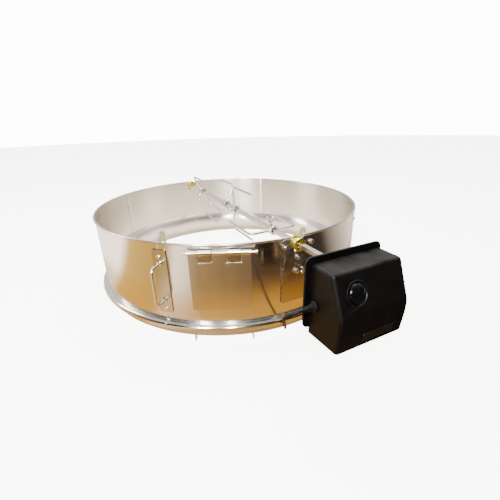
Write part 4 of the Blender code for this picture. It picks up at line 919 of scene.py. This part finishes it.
# ---------------------------------------------------------------------------
# Forks: a turned hub that slides on the spit with two wire prongs welded into
# it, each clamped by a wing-headed thumbscrew.
# ---------------------------------------------------------------------------
HUB_RADIUS = 0.009
HUB_LENGTH = 0.020
PRONG_WIRE = 0.0025
PRONG_REACH = 0.048
PRONG_LENGTH = 0.097
SCREW_RADIUS = 0.0024
KNOB_LOW = HUB_RADIUS + 0.0025
fork_places = (
    ("a", -0.180, 1, 28.0), ("b", -0.010, -1, 152.0), ("c", 0.045, 1, 0.0), ("d", 0.210, -1, -90.0),
)
for tag, along, way, turn in fork_places:
    here = Matrix.Translation(spit_middle + Vector((along, 0.0, 0.0)))
    here = here @ Matrix.Rotation(math.radians(turn), 4, "X")
    half_hub = HUB_LENGTH / 2
    bm = bmesh.new()
    spun(bm, (
        (ROD_BORE, -half_hub + 0.0004), (ROD_BORE + 0.0004, -half_hub),
        (HUB_RADIUS - 0.0012, -half_hub), (HUB_RADIUS - 0.0003, -half_hub + 0.0004),
        (HUB_RADIUS, -half_hub + 0.0012), (HUB_RADIUS, half_hub - 0.0012),
        (HUB_RADIUS - 0.0003, half_hub - 0.0004), (HUB_RADIUS - 0.0012, half_hub),
        (ROD_BORE + 0.0004, half_hub), (ROD_BORE, half_hub - 0.0004),
    ), 48, here, closed=True)
    base = -way * (half_hub - PRONG_WIRE - 0.0015)
    for side in (-1, 1):
        fresh = wire_line(bm, (
            (base, 0.0, side * (HUB_RADIUS - 0.0016)), (base, 0.0, side * PRONG_REACH),
            (base + way * PRONG_LENGTH, 0.0, side * PRONG_REACH),
        ), 0.010, PRONG_WIRE, 16, 10)
        tip = [vert for vert in fresh if abs(vert.co.x - base - way * PRONG_LENGTH) < 0.00001]
        edges = list({edge for vert in tip for edge in vert.link_edges if set(edge.verts) <= set(tip)})
        point = Vector((base + way * PRONG_LENGTH, 0.0, side * PRONG_REACH))
        bmesh.ops.translate(bm, verts=tip, vec=(-way * 0.012, 0.0, 0.0))
        grown = bmesh.ops.extrude_face_region(
            bm, geom=[face for face in bm.faces if set(face.verts) <= set(tip)],
        )["geom"]
        sharp = [part for part in grown if isinstance(part, bmesh.types.BMVert)]
        bmesh.ops.translate(bm, verts=sharp, vec=(way * 0.012, 0.0, 0.0))
        bmesh.ops.scale(bm, vec=(1.0, 0.28, 0.28), space=Matrix.Translation(-point), verts=sharp)
        flat = [face for face in bm.faces if set(face.verts) <= set(tip)]
        bmesh.ops.delete(bm, geom=flat, context="FACES_ONLY")
        bmesh.ops.transform(bm, matrix=here, verts=list(set(fresh) | set(sharp)))
        weld = here @ Matrix.Translation((base, 0.0, side * (HUB_RADIUS - 0.0004)))
        spun(bm, (
            (PRONG_WIRE, 0.0022), (PRONG_WIRE + 0.0008, 0.0009), (PRONG_WIRE + 0.0016, 0.0),
            (PRONG_WIRE + 0.0017, -0.0014), (PRONG_WIRE, -0.0014),
        ), 24, weld @ Matrix.Rotation(math.radians(-90 * side), 4, "Y"), closed=True)
    bmesh.ops.recalc_face_normals(bm, faces=bm.faces[:])
    build(f"spit_fork_{tag}", bm, wire_steel, f"fork_{tag}", replaced=(f"fork_{tag}",))

    screw_along = way * (half_hub - 0.0055)
    stand = here @ Matrix.Translation((screw_along, 0.0, 0.0)) @ Matrix.Rotation(math.radians(-90), 4, "Z")
    bm = bmesh.new()
    foot = 0.0059
    spun(bm, (
        (0.0, foot), (SCREW_RADIUS - 0.0005, foot), (SCREW_RADIUS, foot + 0.0005),
        (SCREW_RADIUS, KNOB_LOW - 0.0003), (0.0038, KNOB_LOW), (0.0042, KNOB_LOW + 0.0005),
        (0.0040, KNOB_LOW + 0.0045), (0.0034, KNOB_LOW + 0.0056), (0.0, KNOB_LOW + 0.0060),
    ), 28, stand)
    old = set(bm.verts)
    wing = [
        bm.verts.new((KNOB_LOW + up, -0.0012, out)) for up, out in (
            (0.0020, 0.0), (0.0024, 0.0034), (0.0052, 0.0060), (0.0092, 0.0082), (0.0124, 0.0084),
            (0.0134, 0.0072), (0.0128, 0.0054), (0.0100, 0.0036), (0.0076, 0.0016), (0.0070, 0.0),
            (0.0076, -0.0016), (0.0100, -0.0036), (0.0128, -0.0054), (0.0134, -0.0072),
            (0.0124, -0.0084), (0.0092, -0.0082), (0.0052, -0.0060), (0.0024, -0.0034),
        )
    ]
    face = bm.faces.new(wing)
    grown = bmesh.ops.extrude_face_region(bm, geom=[face])["geom"]
    moved = [part for part in grown if isinstance(part, bmesh.types.BMVert)]
    bmesh.ops.translate(bm, verts=moved, vec=(0.0, 0.0024, 0.0))
    fresh = [vert for vert in bm.verts if vert not in old]
    rims = [
        edge for edge in bm.edges
        if set(edge.verts) <= set(fresh) and abs(edge.verts[0].co.y - edge.verts[1].co.y) < 0.0001
    ]
    bmesh.ops.bevel(
        bm, geom=rims, offset=0.0007, segments=3, profile=0.5, affect="EDGES", material=-1,
    )
    fresh = [vert for vert in bm.verts if vert not in old]
    bmesh.ops.transform(bm, matrix=stand, verts=fresh)
    bmesh.ops.recalc_face_normals(bm, faces=bm.faces[:])
    build(
        f"wing_screw_{tag}", bm, wire_steel, f"screw_{tag}",
        replaced=(f"thumbscrew_{tag}",),
    )

# ---------------------------------------------------------------------------
# Motor back plate: 3 mm steel with rounded corners, painted satin black. The
# hanger is bolted to it and the housing screws onto it.
# ---------------------------------------------------------------------------
# bright or grey rubbing along the outer edges of a piece
rubbed, feed, give = new_group(
    "edge_rub", [("Vector", TRIPLE, None), ("Reach", NUMBER, 0.0008)], [("Mask", NUMBER)],
)
rounder = rubbed.nodes.new("ShaderNodeBevel")
rounder.samples = 4
rubbed.links.new(feed["Reach"], rounder.inputs["Radius"])
flat_normal = rubbed.nodes.new("ShaderNodeNewGeometry")
facing = rubbed.nodes.new("ShaderNodeVectorMath")
facing.operation = "DOT_PRODUCT"
rubbed.links.new(rounder.outputs["Normal"], facing.inputs[0])
rubbed.links.new(flat_normal.outputs["Normal"], facing.inputs[1])
edge = between(rubbed, facing.outputs["Value"], 0.80, 0.985, 1.0, 0.0, smooth=True)
patchy = between(rubbed, noise(rubbed, feed["Vector"], 130.0, 4.0), 0.42, 0.66)
rubbed.links.new(sums(rubbed, "MULTIPLY", edge, patchy), give["Mask"])

# thin dust that settles on what faces up
settled, feed, give = new_group(
    "settled_dust", [("Vector", TRIPLE, None), ("Scale", NUMBER, 30.0)], [("Mask", NUMBER)],
)
facing_up = settled.nodes.new("ShaderNodeNewGeometry")
split = settled.nodes.new("ShaderNodeSeparateXYZ")
settled.links.new(facing_up.outputs["Normal"], split.inputs["Vector"])
level = between(settled, split.outputs["Z"], 0.35, 1.0, smooth=True)
drift = settled.nodes.new("ShaderNodeTexNoise")
drift.inputs["Detail"].default_value = 5.0
settled.links.new(feed["Vector"], drift.inputs["Vector"])
settled.links.new(feed["Scale"], drift.inputs["Scale"])
patches = between(settled, drift.outputs["Fac"], 0.35, 0.70)
settled.links.new(sums(settled, "MULTIPLY", level, patches), give["Mask"])


def black_look(
    name, colour, rough, pebble, depth, rub=(0.10, 0.10, 0.10), rub_amount=0.5,
    reach=0.0008, dust=0.10, coat=0.0, metallic=0.0, sheen=0.16,
):
    """Black moulding or paint with its fine texture, rubbed edges and dust."""
    look, tree, shader = new_look(name)
    spot = coordinates(tree)
    worn = group_node(tree, marks, spot, Scale=34.0)
    edges = group_node(tree, rubbed, spot, Reach=reach)
    top = group_node(tree, settled, spot, Scale=45.0)
    blotch = between(tree, noise(tree, spot, 22.0, 3.0), 0.3, 0.7)
    lighter = tuple(value * 1.5 + 0.0004 for value in colour)
    tint = blend_colours(tree, blotch, colour, lighter)
    tint = blend_colours(tree, sums(tree, "MULTIPLY", edges["Mask"], rub_amount), tint, rub)
    tint = blend_colours(tree, sums(tree, "MULTIPLY", top["Mask"], dust), tint, (0.42, 0.40, 0.38))
    tree.links.new(tint, shader.inputs["Base Color"])
    grains = noise(tree, spot, pebble, 2.0, 0.5)
    value = sums(tree, "MULTIPLY_ADD", worn["Smudge"], -0.07, rough)
    value = sums(tree, "MULTIPLY_ADD", grains, 0.08, value)
    value = sums(tree, "MULTIPLY_ADD", top["Mask"], 0.12, value)
    tree.links.new(sums(tree, "MULTIPLY_ADD", worn["Scratch"], 0.08, value), shader.inputs["Roughness"])
    shader.inputs["Metallic"].default_value = metallic
    shader.inputs["Coat Weight"].default_value = coat
    shader.inputs["Coat Roughness"].default_value = 0.08
    shader.inputs["Specular IOR Level"].default_value = sheen
    bump(tree, shader, sums(tree, "MULTIPLY_ADD", worn["Scratch"], -0.4, grains), depth)
    return look


plate_paint = black_look(
    "satin_black_paint", (0.0010, 0.0009, 0.0009), 0.38, 900.0, 0.00003,
    rub=(0.10, 0.095, 0.09), reach=0.0006, dust=0.04,
)
dress("motor_back_plate", plate_paint, 0.0008)
MOTOR_STAND = 0.395
bm = bmesh.new()
for across, level in ((-0.050, 0.067), (0.052, 0.067), (-0.050, 0.151), (0.052, 0.151)):
    back = RING @ Matrix.Translation((MOTOR_STAND - 0.0001, across, level))
    dome(bm, 0.0036, 0.0020, back @ Matrix.Rotation(math.pi, 4, "Z"), 24)
for across, level in ((-0.004, 0.1045), (0.024, 0.1045), (-0.004, 0.0735), (0.024, 0.0735)):
    back = RING @ Matrix.Translation((MOTOR_STAND - 0.0034, across, level))
    hex_nut(bm, back @ Matrix.Rotation(math.pi, 4, "Z"), 0.0070, 0.0024, 0.0008, 0.0020)
bmesh.ops.recalc_face_normals(bm, faces=bm.faces[:])
build("case_screws", bm, wire_steel, "ring")

# ---------------------------------------------------------------------------
# Motor housing: one charcoal plastic moulding, drafted towards its front, with
# rounded edges, a sloping upper face and a round hole for the switch.
# ---------------------------------------------------------------------------
HOUSING_BACK = MOTOR_STAND + 0.0033
HOUSING_HALF = 0.058
HOUSING_SHIFT = 0.005
HOUSING_LOW = 0.047
HOUSING_HIGH = 0.151
TOP_DEPTH = 0.0365
DEEPEST = 0.0575
HOUSING_WALL = 0.0025
DRAFT = 0.035
motor_plastic = black_look(
    "charcoal_moulding", (0.0012, 0.0009, 0.0008), 0.42, 1500.0, 0.00003,
    rub=(0.030, 0.027, 0.026), rub_amount=0.35, reach=0.0012, dust=0.03,
)
bm = bmesh.new()
side_view = (
    (0.0, HOUSING_LOW), (DEEPEST - 0.0035, HOUSING_LOW), (DEEPEST, 0.080), (DEEPEST, 0.098),
    (TOP_DEPTH, HOUSING_HIGH), (0.0, HOUSING_HIGH),
)
face = bm.faces.new([bm.verts.new((x, -HOUSING_HALF, z)) for x, z in side_view])
grown = bmesh.ops.extrude_face_region(bm, geom=[face])["geom"]
moved = [part for part in grown if isinstance(part, bmesh.types.BMVert)]
bmesh.ops.translate(bm, verts=moved, vec=(0.0, 2 * HOUSING_HALF, 0.0))


def long_edges(bm, spots):
    """Edges that run across the housing through the given side-view points."""
    found = []
    for edge in bm.edges:
        one, two = (vert.co for vert in edge.verts)
        if abs(one.y - two.y) < HOUSING_HALF:
            continue
        for x, z in spots:
            if abs(one.x - x) < 0.0002 and abs(one.z - z) < 0.0002:
                found.append(edge)
    return found


for spots, width, steps in (
    ((side_view[1],), 0.0060, 6), ((side_view[4],), 0.0032, 6),
    ((side_view[2], side_view[3]), 0.0045, 5),
):
    bmesh.ops.bevel(
        bm, geom=long_edges(bm, spots), offset=width, segments=steps, profile=0.5,
        affect="EDGES", material=-1,
    )
rims = []
for edge in bm.edges:
    one, two = (vert.co for vert in edge.verts)
    if one.y * two.y > 0.0 and max(one.x, two.x) > 0.0005:
        rims.append(edge)
bmesh.ops.bevel(
    bm, geom=rims, offset=0.0055, segments=6, profile=0.5, affect="EDGES", material=-1,
    clamp_overlap=True,
)
for vert in bm.verts:
    vert.co.y *= 1.0 - DRAFT * vert.co.x / DEEPEST
# opening at the back, towards the plate
for level in (0.0636, HOUSING_HIGH - 0.006):
    trim(bm, (0.0, 0.0, level), (0.0, 0.0, 1.0))
gone = []
for side in (-0.050, 0.050):
    rear = [face for face in bm.faces if face.calc_center_median().x < 0.00001]
    bmesh.ops.bisect_plane(
        bm, geom=list({part for face in rear for part in (*face.verts, *face.edges, face)}),
        dist=0.000001, plane_co=(0.0, side, 0.0), plane_no=(0.0, 1.0, 0.0),
    )
for face in bm.faces:
    spot = face.calc_center_median()
    if spot.x < 0.00001 and abs(spot.y) < 0.050 and 0.0636 < spot.z < HOUSING_HIGH - 0.006:
        gone.append(face)
bmesh.ops.delete(bm, geom=gone, context="FACES")
bmesh.ops.remove_doubles(bm, verts=bm.verts[:], dist=0.000005)
bmesh.ops.recalc_face_normals(bm, faces=bm.faces[:])
housing_frame = RING @ Matrix.Translation((HOUSING_BACK, HOUSING_SHIFT, 0.0))
bmesh.ops.transform(bm, matrix=housing_frame, verts=bm.verts[:])

# round hole for the switch in the sloping face
SLOPE = math.atan2(DEEPEST - TOP_DEPTH, HOUSING_HIGH - 0.098)
KNOB_ACROSS = -0.021
KNOB_LEVEL = 0.1248
WELL_RADIUS = 0.0150
knob_depth = HOUSING_BACK + TOP_DEPTH + (HOUSING_HIGH - KNOB_LEVEL) * math.tan(SLOPE)
switch_frame = RING @ Matrix.Translation((knob_depth, KNOB_ACROSS, KNOB_LEVEL))
switch_frame = switch_frame @ Matrix.Rotation(-SLOPE, 4, "Y")
out = switch_frame.to_3x3() @ Vector((1.0, 0.0, 0.0))
slopes = [face for face in bm.faces if face.normal.dot(out) > 0.9995]
slope_rim = list({
    edge for face in slopes for edge in face.edges
    if any(other not in slopes for other in edge.link_faces)
})
bmesh.ops.delete(bm, geom=slopes, context="FACES_KEEP_BOUNDARY")
old = set(bm.verts)
bmesh.ops.create_circle(
    bm, segments=64, radius=WELL_RADIUS + 0.0003,
    matrix=switch_frame @ Matrix.Rotation(math.radians(90), 4, "Y"),
)
hole = [edge for edge in bm.edges if edge.verts[0] not in old and edge.verts[1] not in old]
slope_rim = [edge for edge in bm.edges if edge.is_boundary and edge not in hole]
slope_rim = [
    edge for edge in slope_rim
    if all(abs((vert.co - switch_frame.translation).dot(out)) < 0.00005 for vert in edge.verts)
]
bmesh.ops.triangle_fill(bm, use_beauty=True, use_dissolve=False, edges=slope_rim + hole)
bmesh.ops.recalc_face_normals(bm, faces=bm.faces[:])
shell = build(
    "motor_case", bm, motor_plastic, "ring", smooth=28.0,
    replaced=("motor_housing",),
)
thicken(shell, HOUSING_WALL, -1.0)
even_shading(shell)

# ---------------------------------------------------------------------------
# Switch: a glossy domed push button in a round cup set into the slope.
# ---------------------------------------------------------------------------
BUTTON_RADIUS = 0.0130
STEM = 0.0040
CUP_FLOOR = -0.0085
bezel_plastic = black_look(
    "cup_moulding", (0.0015, 0.0015, 0.0016), 0.26, 1200.0, 0.00003, rub=(0.05, 0.05, 0.05),
    dust=0.03,
)
bm = bmesh.new()
spun(bm, (
    (STEM + 0.0004, CUP_FLOOR - 0.0012), (WELL_RADIUS - 0.0006, CUP_FLOOR - 0.0012),
    (WELL_RADIUS, CUP_FLOOR - 0.0006), (WELL_RADIUS, 0.0003), (WELL_RADIUS + 0.0016, 0.0003),
    (WELL_RADIUS + 0.0018, 0.0006), (WELL_RADIUS + 0.0016, 0.0012), (WELL_RADIUS + 0.0008, 0.0016),
    (WELL_RADIUS - 0.0004, 0.0014), (WELL_RADIUS - 0.0012, 0.0006),
    (WELL_RADIUS - 0.0014, CUP_FLOOR + 0.0010),
    (WELL_RADIUS - 0.0024, CUP_FLOOR), (STEM + 0.0004, CUP_FLOOR),
), 96, switch_frame, closed=True)
bmesh.ops.recalc_face_normals(bm, faces=bm.faces[:])
build("switch_cup", bm, bezel_plastic, "ring", replaced=("switch_bezel",))

button_gloss = black_look(
    "button_gloss", (0.0012, 0.0012, 0.0014), 0.07, 500.0, 0.00001, rub=(0.03, 0.03, 0.03),
    rub_amount=0.2, dust=0.02, coat=0.25,
)
bm = bmesh.new()
spun(bm, (
    (0.0, -0.0125), (STEM, -0.0125), (STEM, -0.0040), (BUTTON_RADIUS - 0.0003, -0.0040),
    (BUTTON_RADIUS, -0.0036), (BUTTON_RADIUS, 0.0004), (BUTTON_RADIUS - 0.0003, 0.0012),
    (0.0118, 0.0024), (0.0104, 0.0033), (0.0085, 0.0040), (0.0062, 0.00455), (0.0034, 0.0049),
    (0.0, 0.0050),
), 96, switch_frame)
bmesh.ops.recalc_face_normals(bm, faces=bm.faces[:])
build("push_button", bm, button_gloss, "button", replaced=("switch_button",))

# ---------------------------------------------------------------------------
# Rating badge: a small dark plain metal plate stuck on the lower front.
# ---------------------------------------------------------------------------
badge_metal = steel_look(
    "dark_badge", (0.10, 0.098, 0.095), 0.30, 0.10, (900.0, 14.0, 900.0), 0.00002,
    smudge=0.10, scale=60.0,
)
dress("badge_plate", badge_metal, 0.0002)

# ---------------------------------------------------------------------------
# Drive, out of sight inside the housing: square socket, brass output gear,
# steel pinion and the gear motor's can.
# ---------------------------------------------------------------------------
inner_steel = steel_look(
    "turned_steel", (0.60, 0.59, 0.57), 0.26, 0.08, (1200.0, 90.0, 90.0), 0.00002,
    smudge=0.12, scale=50.0,
)
can_steel = steel_look(
    "plated_can", (0.66, 0.66, 0.63), 0.34, 0.06, (60.0, 700.0, 700.0), 0.00001,
    smudge=0.14, scale=40.0,
)
dress("drive_socket", inner_steel)
dress("output_gear", brass)
dress("pinion", inner_steel)
dress("gear_motor", can_steel)

# ---------------------------------------------------------------------------
# Cord gland: a ribbed rubber sleeve clipped into the housing's side. It
# tapers along the cord to keep it from kinking.
# ---------------------------------------------------------------------------
GLAND_X = 0.4085
GLAND_LEVEL = 0.096
gland_side = HOUSING_SHIFT - HOUSING_HALF * (1.0 - DRAFT * (GLAND_X - HOUSING_BACK) / DEEPEST)
CORD_RADIUS = 0.0022
SLEEVE_END = 0.016
cord_rubber = black_look(
    "cord_rubber", (0.0018, 0.0014, 0.0012), 0.46, 1700.0, 0.00004, rub=(0.03, 0.03, 0.03),
    rub_amount=0.3, dust=0.04,
)
gland_frame = RING @ Matrix.Translation((GLAND_X, gland_side, GLAND_LEVEL))
gland_frame = gland_frame @ Matrix.Rotation(math.radians(-90), 4, "Z")
bore = CORD_RADIUS + 0.0002
sleeve = [(bore, -0.0050), (0.0062, -0.0050), (0.0066, -0.0046), (0.0066, -0.0030), (0.0052, -0.0030)]
sleeve += [(0.0052, 0.0004), (0.0074, 0.0004), (0.0076, 0.0008), (0.0075, 0.0030), (0.0070, 0.0040)]
sleeve += [(0.0056, 0.0044)]
RIBS = 4
for rib in range(RIBS):
    low = 0.0048 + rib * 0.0026
    wide = 0.0048 - 0.00036 * rib
    sleeve += [
        (wide, low), (wide, low + 0.0015),
        (wide - 0.0006, low + 0.0018), (wide - 0.0006, low + 0.0024),
    ]
sleeve += [(0.0032, SLEEVE_END - 0.0006), (0.0029, SLEEVE_END), (bore, SLEEVE_END)]
bm = bmesh.new()
spun(bm, sleeve, 40, gland_frame, closed=True)
bmesh.ops.recalc_face_normals(bm, faces=bm.faces[:])
build("cord_sleeve", bm, cord_rubber, "ring", replaced=("cord_gland",))

# ---------------------------------------------------------------------------
# Mains cord: 4.4 mm black rubber lead. It slants down from its sleeve, drawn
# straight where a real one would sag a little, slips under the band's edge to
# the table, and its spare length is coiled and tied.
# ---------------------------------------------------------------------------
EDGE_BEARING = -3.1
UNDER_EDGE = 0.0125
DROP_BEND = 0.018
FLOOR_BEND = 0.020
RUN_BEND = 0.026
COIL_RADIUS = 0.0255
COIL_X = RING_X + 0.185
COIL_Y = 0.0295
CORD_PITCH = 0.0045
CORD_TURNS = 6
COIL_FOOT = 0.0015
TAIL_LENGTH = 0.075
run_side = COIL_Y - COIL_RADIUS
on_table = CORD_RADIUS + 0.0002
start_level = COIL_FOOT + CORD_RADIUS
top_level = start_level + CORD_TURNS * CORD_PITCH
drop_x = RING_X + GLAND_X
drop_side = gland_side - SLEEVE_END - 0.002 - 1.6 * DROP_BEND
exit_point = (drop_x, gland_side - 0.002, BEAD_TOP + GLAND_LEVEL)
drop = Vector((drop_x, drop_side, BEAD_TOP + GLAND_LEVEL))
edge_point = at_ring(EDGE_BEARING) @ Vector((BAND_OUT, 0.0, 0.0))
edge_point.z = UNDER_EDGE
slant = (edge_point - drop) / (drop.z - edge_point.z)
landing = edge_point + slant * (edge_point.z - on_table)
turn_in = landing + Vector((slant.x, slant.y, 0.0)) * (run_side - landing.y) / slant.y
corners = (
    (*exit_point, 0.0), (*drop, DROP_BEND), (*landing, FLOOR_BEND), (*turn_in, RUN_BEND),
    (turn_in.x - 0.022, run_side, on_table, 0.05), (COIL_X, run_side, start_level, 0.0),
)
route = [Vector(corners[0][:3])]
for index in range(1, len(corners) - 1):
    here = Vector(corners[index][:3])
    bend = corners[index][3]
    before = (Vector(corners[index - 1][:3]) - here).normalized()
    after = (Vector(corners[index + 1][:3]) - here).normalized()
    half = before.angle(after) / 2
    if half > math.radians(89.0):
        route.append(here)
        continue
    middle = here + (before + after).normalized() * bend / math.sin(half)
    first = (here + before * bend / math.tan(half) - middle).normalized()
    last = (here + after * bend / math.tan(half) - middle).normalized()
    steps = max(3, round(math.degrees(first.angle(last)) / 8))
    for step in range(steps + 1):
        route.append(middle + first.slerp(last, step / steps) * bend)
TURN_POINTS = 24
for step in range(CORD_TURNS * TURN_POINTS + 1):
    turn = math.radians(-90.0) - math.tau * step / TURN_POINTS
    level = start_level + CORD_PITCH * step / TURN_POINTS
    route.append(Vector((
        COIL_X + COIL_RADIUS * math.cos(turn), COIL_Y + COIL_RADIUS * math.sin(turn), level,
    )))
PLUG_HALF = (0.016, 0.0125, 0.0095)
plug_x = COIL_X - TAIL_LENGTH - PLUG_HALF[0]
plug_level = PLUG_HALF[2] + 0.0002
for step in range(1, 25):
    share = step / 24
    fall = max(0.0, share - 0.2) / 0.8
    ease = fall * fall * (3 - 2 * fall)
    route.append(Vector((
        COIL_X - (TAIL_LENGTH + 0.001) * share, run_side,
        top_level + (plug_level - top_level) * ease,
    )))
lead = bpy.data.curves.new("mains_lead", "CURVE")
lead.dimensions = "3D"
lead.bevel_depth = CORD_RADIUS
lead.bevel_resolution = 5
lead.use_fill_caps = True
strand = lead.splines.new("POLY")
strand.points.add(len(route) - 1)
for spot, point in zip(strand.points, route):
    spot.co = (*point, 1.0)
strand.use_smooth = True
lead.materials.append(cord_rubber)
mains_lead = bpy.data.objects.new("mains_lead", lead)
bpy.context.collection.objects.link(mains_lead)
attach(mains_lead, "ring")
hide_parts("cord_tube", "cord_tail", "cord_coil")

# the tie is a strap round the stack of turns
tie_frame = Matrix.Translation((COIL_X, COIL_Y, COIL_FOOT + 0.0157))
tie_frame = tie_frame @ Matrix.Rotation(math.radians(150.0), 4, "Z")
tie_frame = tie_frame @ Matrix.Translation((COIL_RADIUS, 0.0, 0.0))
bm = bmesh.new()
face = bm.faces.new([
    bm.verts.new((x, -0.005, z)) for x, z in (
        (-0.00369, -0.01645), (0.00369, -0.01645), (0.00369, 0.01645), (-0.00369, 0.01645),
    )
])
bmesh.ops.bevel(
    bm, geom=bm.verts[:], offset=0.0014, segments=5, profile=0.5, affect="VERTICES", material=-1,
)
outline = [edge for edge in bm.edges]
grown = bmesh.ops.extrude_edge_only(bm, edges=outline)["geom"]
moved = [part for part in grown if isinstance(part, bmesh.types.BMVert)]
bmesh.ops.translate(bm, verts=moved, vec=(0.0, 0.010, 0.0))
bmesh.ops.delete(bm, geom=[face for face in bm.faces if len(face.verts) > 4], context="FACES_ONLY")
bmesh.ops.transform(bm, matrix=tie_frame, verts=bm.verts[:])
bmesh.ops.recalc_face_normals(bm, faces=bm.faces[:])
tie_strap = build("tie_strap", bm, cord_rubber, "ring", replaced=("cord_tie",))
thicken(tie_strap, 0.0009)

# ---------------------------------------------------------------------------
# Plug: moulded on to the cord's end, with finger grips and two flat blades.
# ---------------------------------------------------------------------------
plug_rubber = black_look(
    "plug_moulding", (0.0024, 0.0020, 0.0018), 0.38, 1300.0, 0.00005, rub=(0.04, 0.04, 0.04),
    dust=0.05,
)
bm = bmesh.new()
bmesh.ops.create_cube(bm, size=2.0, matrix=Matrix.Diagonal((*PLUG_HALF, 1.0)))
bmesh.ops.subdivide_edges(
    bm, edges=[edge for edge in bm.edges if abs(edge.verts[0].co.x - edge.verts[1].co.x) > 0.01],
    cuts=7, use_grid_fill=True,
)
for vert in bm.verts:
    back = min(max((vert.co.x + PLUG_HALF[0]) / (2 * PLUG_HALF[0]), 0.0), 1.0)
    vert.co.y *= 1.0 - 0.42 * back ** 2.2
    vert.co.z *= 1.0 - 0.30 * back ** 2.2
    if 0.2 < back < 0.8 and round(back * 8) % 2 == 0:
        vert.co.y *= 0.93
corner_edges = [
    edge for edge in bm.edges if edge.calc_face_angle(0.0) > math.radians(60.0)
]
bmesh.ops.bevel(
    bm, geom=corner_edges, offset=0.0026, segments=5, profile=0.5, affect="EDGES", material=-1,
    clamp_overlap=True,
)
bmesh.ops.transform(
    bm, matrix=Matrix.Translation((plug_x, run_side, plug_level)), verts=bm.verts[:],
)
bmesh.ops.recalc_face_normals(bm, faces=bm.faces[:])
plug = build("mains_plug", bm, plug_rubber, "ring", smooth=50.0, replaced=("plug_body",))
for index in (1, 2):
    dress(f"plug_blade_{index}", brass, 0.0002)
